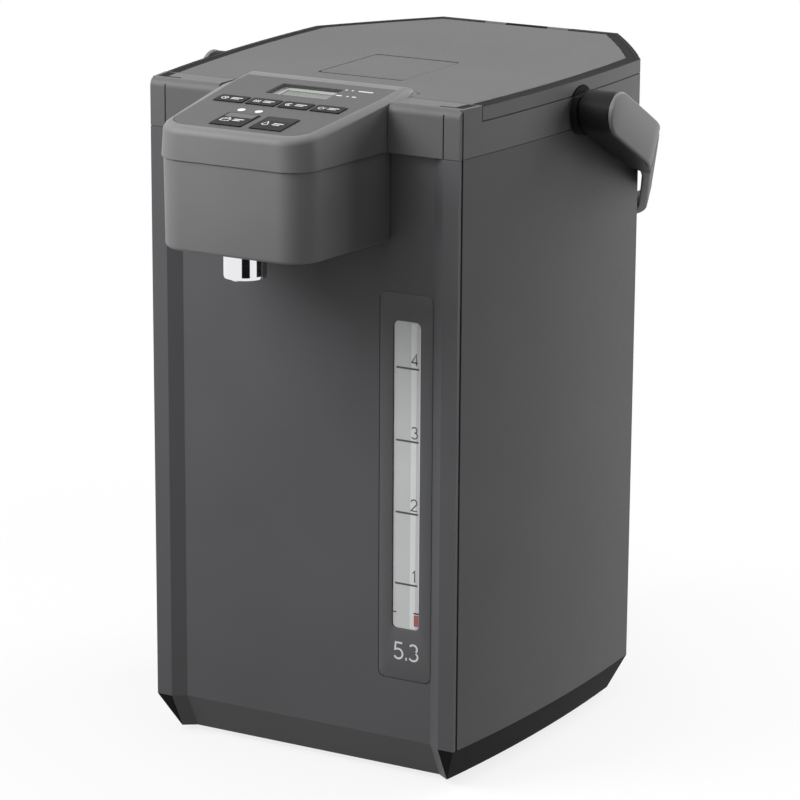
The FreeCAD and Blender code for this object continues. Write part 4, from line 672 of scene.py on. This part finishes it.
def make_display():
    """Pale sloping surround down to the display glass, with painted shade along its upper and left edges."""
    (wide, tall), (glass_wide, glass_tall) = DISPLAY_HALF, GLASS_HALF
    loops = [display_loop(wide, tall, DISPLAY_DEEP), display_loop(wide, tall, LEDGE_DEEP),
             display_loop(wide - 0.6, tall - 0.6, LEDGE_DEEP),
             display_loop(glass_wide, glass_tall, GLASS_DEEP),
             display_loop(glass_wide, glass_tall, DISPLAY_DEEP)]
    add_loops("display_surround", loops, "pale_plastic", "pot", ring=True)
    glass = [display_loop(glass_wide + 0.1, glass_tall + 0.1, deep)
             for deep in (DISPLAY_DEEP, GLASS_DEEP + 0.1)]
    shown = add_loops("display_glass", glass, "display_green", "pot")
    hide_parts("lcd_module")
    # Painted shade: a dark strip along the surround's upper and left walls, and another along the glass's upper
    # and left edges.
    top = DISPLAY_UP + tall - 0.7
    rim = [(-wide, DISPLAY_UP - tall + 1.0), (-wide + 0.6, top), (wide, top)]
    printed("display_ledge_shade", [(rim, 1.5, False)], on_panel, "print_dark", height=0.04)
    shade = [(-15.0, DISPLAY_UP - 6.4), (-15.0, DISPLAY_UP + 7.2), (14.6, DISPLAY_UP + 7.2)]
    printed("display_shade", [(shade, 1.0, False)], on_glass, "print_dark")


# Nose
def mirrored(right):
    return right + [(-x, y) for x, y in reversed(right)]


def nose_plan(half_front, half_root, front, rear, corner):
    """Plan of the nose at one level: tapered sides, round front corners, and straight sides in the lid."""
    right = [(half_front, front), (half_root, ROOT_Y), (half_root, DECK_Y), (half_root, rear)]
    radii = [corner, 2.0, 0.04, 1.0]
    return rounded_loop(mirrored(right), radii + radii[::-1])


def housing_plan(inset):
    return nose_plan(NOSE_FRONT_HALF - inset, NOSE_ROOT_HALF - inset, NOSE_FRONT_Y + inset,
                     NOSE_REAR_Y - 2 * inset, NOSE_CORNER - inset)


def sheet_plan(grow):
    """Plan of the opening that the panel's sheet lies in."""
    root_half = SHEET_FRONT_HALF + SHEET_WIDENING
    return nose_plan(SHEET_FRONT_HALF + grow, root_half + grow, NOSE_FRONT_Y + SHEET_FRONT - grow,
                     SHEET_END_Y + grow, SHEET_CORNER + grow)


def panel_level(y):
    return PANEL_FOOT_Z + (y - NOSE_FRONT_Y) * tan(PANEL_RISE)


def housing_foot(y):
    return SEAM_Z + 0.3 if y < DECK_Y else DECK_Z


def drafted(x, y, z):
    """Draws the sides in a little towards the top, apart from what stands in the notch behind."""
    if y > ROOT_Y - 4 and z < LID_TOP_Z:
        return (x, y, z)
    return (x * (1 - NOSE_DRAFT * max(z - SEAM_Z, 0) / NOSE_ROOT_HALF), y, z)


def make_housing():
    """Upper half of the nose: walls from the seam up, and a rim that rolls a quarter turn to the panel."""
    loops = [[(x, y, housing_foot(y) + rise) for x, y in housing_plan(inset)]
             for inset, rise in ((2.5, 0.0), (0.3, 0.0), (0.0, 0.3))]
    loops.append([(x, y, LID_TOP_Z - 0.1 if y > ROOT_Y - 4 else housing_foot(y) + 0.6)
                  for x, y in housing_plan(0.0)])
    for step in range(8):
        a = radians(90 * step / 7)
        drop = NOSE_EDGE * (1 - sin(a))
        loops.append([(x, y, panel_level(y) - drop) for x, y in housing_plan(NOSE_EDGE * (1 - cos(a)))])
    loops = [[drafted(*point) for point in loop] for loop in loops]
    loops += [[(x, y, panel_level(y) - drop) for x, y in sheet_plan(0.1)] for drop in (0.0, 0.8, 3.5)]
    housing = add_loops("nose_housing", loops, "satin_grey", "pot", 40.0, ring=True)
    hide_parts("nose_upper_housing")


def make_cover():
    """Lower half of the nose: it stands back below the seam and leans in towards its rounded foot."""
    loops = []
    foot = [(inset, COVER_FOOT_Z + rise) for inset, rise in ((2.0, 0.0), (1.0, 0.3), (0.3, 1.0), (0.0, 2.0))]
    for inset, z in foot + [(0.0, SEAM_Z)]:
        lean = COVER_LEAN * (SEAM_Z - z) / (SEAM_Z - COVER_FOOT_Z)
        half, root = NOSE_FRONT_HALF - NOSE_STEP - inset, NOSE_ROOT_HALF - NOSE_STEP - inset
        right = [(half, NOSE_FRONT_Y + NOSE_STEP + lean + inset), (root, ROOT_Y - 0.3)]
        plan = rounded_loop(mirrored(right), [NOSE_CORNER - inset, 0.5, 0.5, NOSE_CORNER - inset], 8)
        loops.append([(x, y, z) for x, y in plan])
    cover = add_loops("nose_cover", loops, "satin_grey", "pot", 40.0)
    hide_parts("nose_lower_cover")


def make_spout():
    """Bright sleeve turned about an upright axis, with a rolled foot and a bore."""
    profile = [(SPOUT_R, SPOUT_TOP_Z), (SPOUT_R, SPOUT_FOOT_Z + 2.5), (SPOUT_R, SPOUT_FOOT_Z + 2.0),
               (SPOUT_R - 0.3, SPOUT_FOOT_Z + 0.7), (SPOUT_R - 1.0, SPOUT_FOOT_Z + 0.1),
               (SPOUT_BORE_R + 0.2, SPOUT_FOOT_Z), (SPOUT_BORE_R, SPOUT_FOOT_Z + 0.3),
               (SPOUT_BORE_R, SPOUT_DEEP_Z)]
    loops = [[(x, y, z) for x, y in arc(0, SPOUT_Y, radius, radius, 0, 352.5, 48)] for radius, z in profile]
    spout = add_loops("spout_sleeve", loops, "chrome", "pot")
    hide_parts("spout_nozzle")


def sheet_half(up):
    """Half width of the panel's sheet along the slope, with round front corners."""
    share = min((up - SHEET_FRONT) / (SHEET_KINK - SHEET_FRONT), 1.0)
    half = SHEET_FRONT_HALF + SHEET_WIDENING * share
    short = SHEET_FRONT + SHEET_CORNER - up
    return half - SHEET_CORNER + np.sqrt(SHEET_CORNER ** 2 - short ** 2) if short > 0 else half


def sheet_holes():
    """Openings for the keys and the display: middle x and distance up the slope, and half sizes."""
    holes = [(small_key_x(place), SMALL_KEY_UP, *SMALL_KEY_HOLE) for place in range(len(SMALL_KEYS))]
    holes += [(x, LARGE_KEY_UP, *LARGE_KEY_HOLE) for x in LARGE_KEYS.values()]
    return holes + [(0.0, DISPLAY_UP, *DISPLAY_HOLE)]


def make_sheet():
    """Thin sheet over the nose, a grid with the cells of its holes left out, thickened downwards."""
    holes = sheet_holes()
    across = sorted({x + side * half for x, up, half, tall in holes for side in (-1, 1)} | {-60.0, 60.0})
    front = {SHEET_FRONT + SHEET_CORNER * (1 - cos(radians(a))) for a in range(0, 91, 9)}
    edges = {up + side * tall for x, up, half, tall in holes for side in (-1, 1)}
    rows = sorted(edges | {SHEET_KINK, SHEET_REAR} | front)
    work = bmesh.new()
    grid = []
    for up in rows:
        half = sheet_half(up)
        grid.append([work.verts.new(on_panel(np.clip(x, -half, half), up, 0)) for x in across])
    for j in range(len(rows) - 1):
        for i in range(len(across) - 1):
            x, up = (across[i] + across[i + 1]) / 2, (rows[j] + rows[j + 1]) / 2
            if not any(abs(x - hole[0]) < hole[2] and abs(up - hole[1]) < hole[3] for hole in holes):
                work.faces.new((grid[j][i], grid[j][i + 1], grid[j + 1][i + 1], grid[j + 1][i]))
    bmesh.ops.delete(work, geom=[v for v in work.verts if not v.link_faces], context="VERTS")
    bmesh.ops.remove_doubles(work, verts=work.verts, dist=0.001)
    lower = bmesh.ops.extrude_face_region(work, geom=work.faces[:])["geom"]
    for vert in lower:
        if isinstance(vert, bmesh.types.BMVert):
            vert.co -= Vector((0, -sin(PANEL_RISE), cos(PANEL_RISE))) * SHEET_THICK
    work.verts.index_update()
    points = [tuple(vert.co) for vert in work.verts]
    faces = [tuple(vert.index for vert in face.verts) for face in work.faces]
    work.free()
    sheet = add_piece("panel_sheet", points, faces, "key_sheet", "pot")
    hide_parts("control_panel_sheet")


# Stage
def white_to_camera(nodes, links, shade, white):
    """Camera, glossy and transmission rays see the white shader, and all others the shade."""
    path = nodes.new("ShaderNodeLightPath")
    rays = [path.outputs[n] for n in ("Is Camera Ray", "Is Glossy Ray", "Is Transmission Ray")]
    total = rays[0]
    for ray in rays[1:]:
        most = nodes.new("ShaderNodeMath")
        most.operation = "MAXIMUM"
        links.new(total, most.inputs[0])
        links.new(ray, most.inputs[1])
        total = most.outputs["Value"]
    mix = nodes.new("ShaderNodeMixShader")
    links.new(total, mix.inputs["Fac"])
    links.new(shade, mix.inputs[1])
    links.new(white, mix.inputs[2])
    return mix.outputs["Shader"]


def matt(nodes, level):
    shader = nodes.new("ShaderNodeBsdfDiffuse")
    shader.inputs["Color"].default_value = (level, level, level, 1.0)
    return shader.outputs["BSDF"]


def floor_white(nodes, links):
    """Matt white that keeps the shadow near the pot, and a plain white glow further off."""
    glow = nodes.new("ShaderNodeEmission")
    glow.inputs["Color"].default_value = (1.0, 1.0, 1.0, 1.0)
    glow.inputs["Strength"].default_value = 1.0
    place = nodes.new("ShaderNodeTexCoord")
    far = nodes.new("ShaderNodeVectorMath")
    far.operation = "LENGTH"
    links.new(place.outputs["Object"], far.inputs[0])
    share = nodes.new("ShaderNodeMapRange")
    share.inputs["From Min"].default_value = 0.15
    share.inputs["From Max"].default_value = 0.55
    share.inputs["To Min"].default_value = 0.8
    share.inputs["To Max"].default_value = 1.0
    links.new(far.outputs["Value"], share.inputs["Value"])
    pale = nodes.new("ShaderNodeMixShader")
    links.new(share.outputs["Result"], pale.inputs["Fac"])
    links.new(matt(nodes, 0.9), pale.inputs[1])
    links.new(glow.outputs["Emission"], pale.inputs[2])
    return pale.outputs["Shader"]


def make_floor():
    """Level square under the pot: pale, and white to the camera apart from the pot's soft shadow."""
    half = 6.0                                   # metres
    mesh = bpy.data.meshes.new("floor")
    mesh.from_pydata([(x, y, 0) for x, y in rectangle(-half, half, -half, half)], [], [(0, 1, 2, 3)])
    floor = bpy.data.objects.new("floor", mesh)
    bpy.context.scene.collection.objects.link(floor)
    material = bpy.data.materials.new("floor")
    material.use_nodes = True
    nodes, links = material.node_tree.nodes, material.node_tree.links
    nodes.clear()
    out = nodes.new("ShaderNodeOutputMaterial")
    surface = white_to_camera(nodes, links, matt(nodes, 0.2), floor_white(nodes, links))
    links.new(surface, out.inputs["Surface"])
    mesh.materials.append(material)


def make_world():
    """Dim all round for the object's own light, and white to the camera and in gloss."""
    world = bpy.data.worlds.new("world")
    world.use_nodes = True
    bpy.context.scene.world = world
    nodes, links = world.node_tree.nodes, world.node_tree.links
    nodes.clear()
    dim = nodes.new("ShaderNodeBackground")
    dim.inputs["Strength"].default_value = 0.14
    white = nodes.new("ShaderNodeBackground")
    white.inputs["Color"].default_value = (1.0, 1.0, 1.0, 1.0)
    white.inputs["Strength"].default_value = 1.0
    out = nodes.new("ShaderNodeOutputWorld")
    surface = white_to_camera(nodes, links, dim.outputs["Background"], white.outputs["Background"])
    links.new(surface, out.inputs["Surface"])


def dark_card(name, azimuth, distance, wide, tall):
    """Upright dark card that only gloss shows, so that bright metal has the dark stripes of a studio.

    Its azimuth is in degrees, as the views measure it, and its lengths are in metres.
    """
    turn = radians(azimuth)
    middle = Vector((sin(turn), -cos(turn), 0.0)) * distance + Vector((0.0, 0.0, tall / 2 + 0.01))
    side = Vector((cos(turn), sin(turn), 0.0)) * wide / 2
    up = Vector((0.0, 0.0, tall / 2))
    corners = [middle - side - up, middle + side - up, middle + side + up, middle - side + up]
    mesh = bpy.data.meshes.new(name)
    mesh.from_pydata(corners, [], [(0, 1, 2, 3)])
    mesh.materials.append(finishes["rim_black"])
    card = bpy.data.objects.new(name, mesh)
    bpy.context.scene.collection.objects.link(card)
    card.visible_camera = card.visible_diffuse = card.visible_shadow = card.visible_transmission = False


def softbox(name, azimuth, elevation, distance, width, height, watts):
    """Area lamp aimed at the middle of the pot: angles in degrees, as the views measure them, and metres."""
    data = bpy.data.lights.new(name, "AREA")
    data.shape, data.size, data.size_y, data.energy = "RECTANGLE", width, height, watts
    lamp = bpy.data.objects.new(name, data)
    a, e = radians(azimuth), radians(elevation)
    back = Vector((sin(a) * cos(e), -cos(a) * cos(e), sin(e)))
    lamp.location = Vector((0.0, 0.0, 0.25)) + back * distance
    lamp.rotation_mode = "QUATERNION"
    lamp.rotation_quaternion = (-back).to_track_quat("-Z", "Y")
    bpy.context.scene.collection.objects.link(lamp)


def make_stage():
    """Floor, world, cards and lamps around the pot."""
    make_floor()
    make_world()
    dark_card("front_card", azimuth=29, distance=0.9, wide=0.58, tall=0.7)
    dark_card("side_card", azimuth=112, distance=0.9, wide=1.0, tall=0.7)
    softbox("key_light", azimuth=-36, elevation=38, distance=1.0, width=0.6, height=0.6, watts=9.0)
    softbox("front_light", azimuth=-8, elevation=14, distance=1.2, width=0.4, height=0.6, watts=2.2)
    softbox("rear_light", azimuth=150, elevation=30, distance=1.02, width=0.4, height=0.6, watts=7.0)
    softbox("side_light", azimuth=128, elevation=8, distance=1.1, width=0.6, height=0.8, watts=5.0)
    softbox("top_light", azimuth=60, elevation=80, distance=1.0, width=0.6, height=0.6, watts=3.2)


make_finishes()
dress_nodes()
outer_line = handle_line()
make_bail(outer_line)
make_arm_covers(outer_line)
make_gauge()
make_gauge_prints()
make_key_prints()
make_display()
make_housing()
make_cover()
make_spout()
make_sheet()
place_camera()
make_stage()
bpy.context.scene.view_settings.view_transform = "Standard"
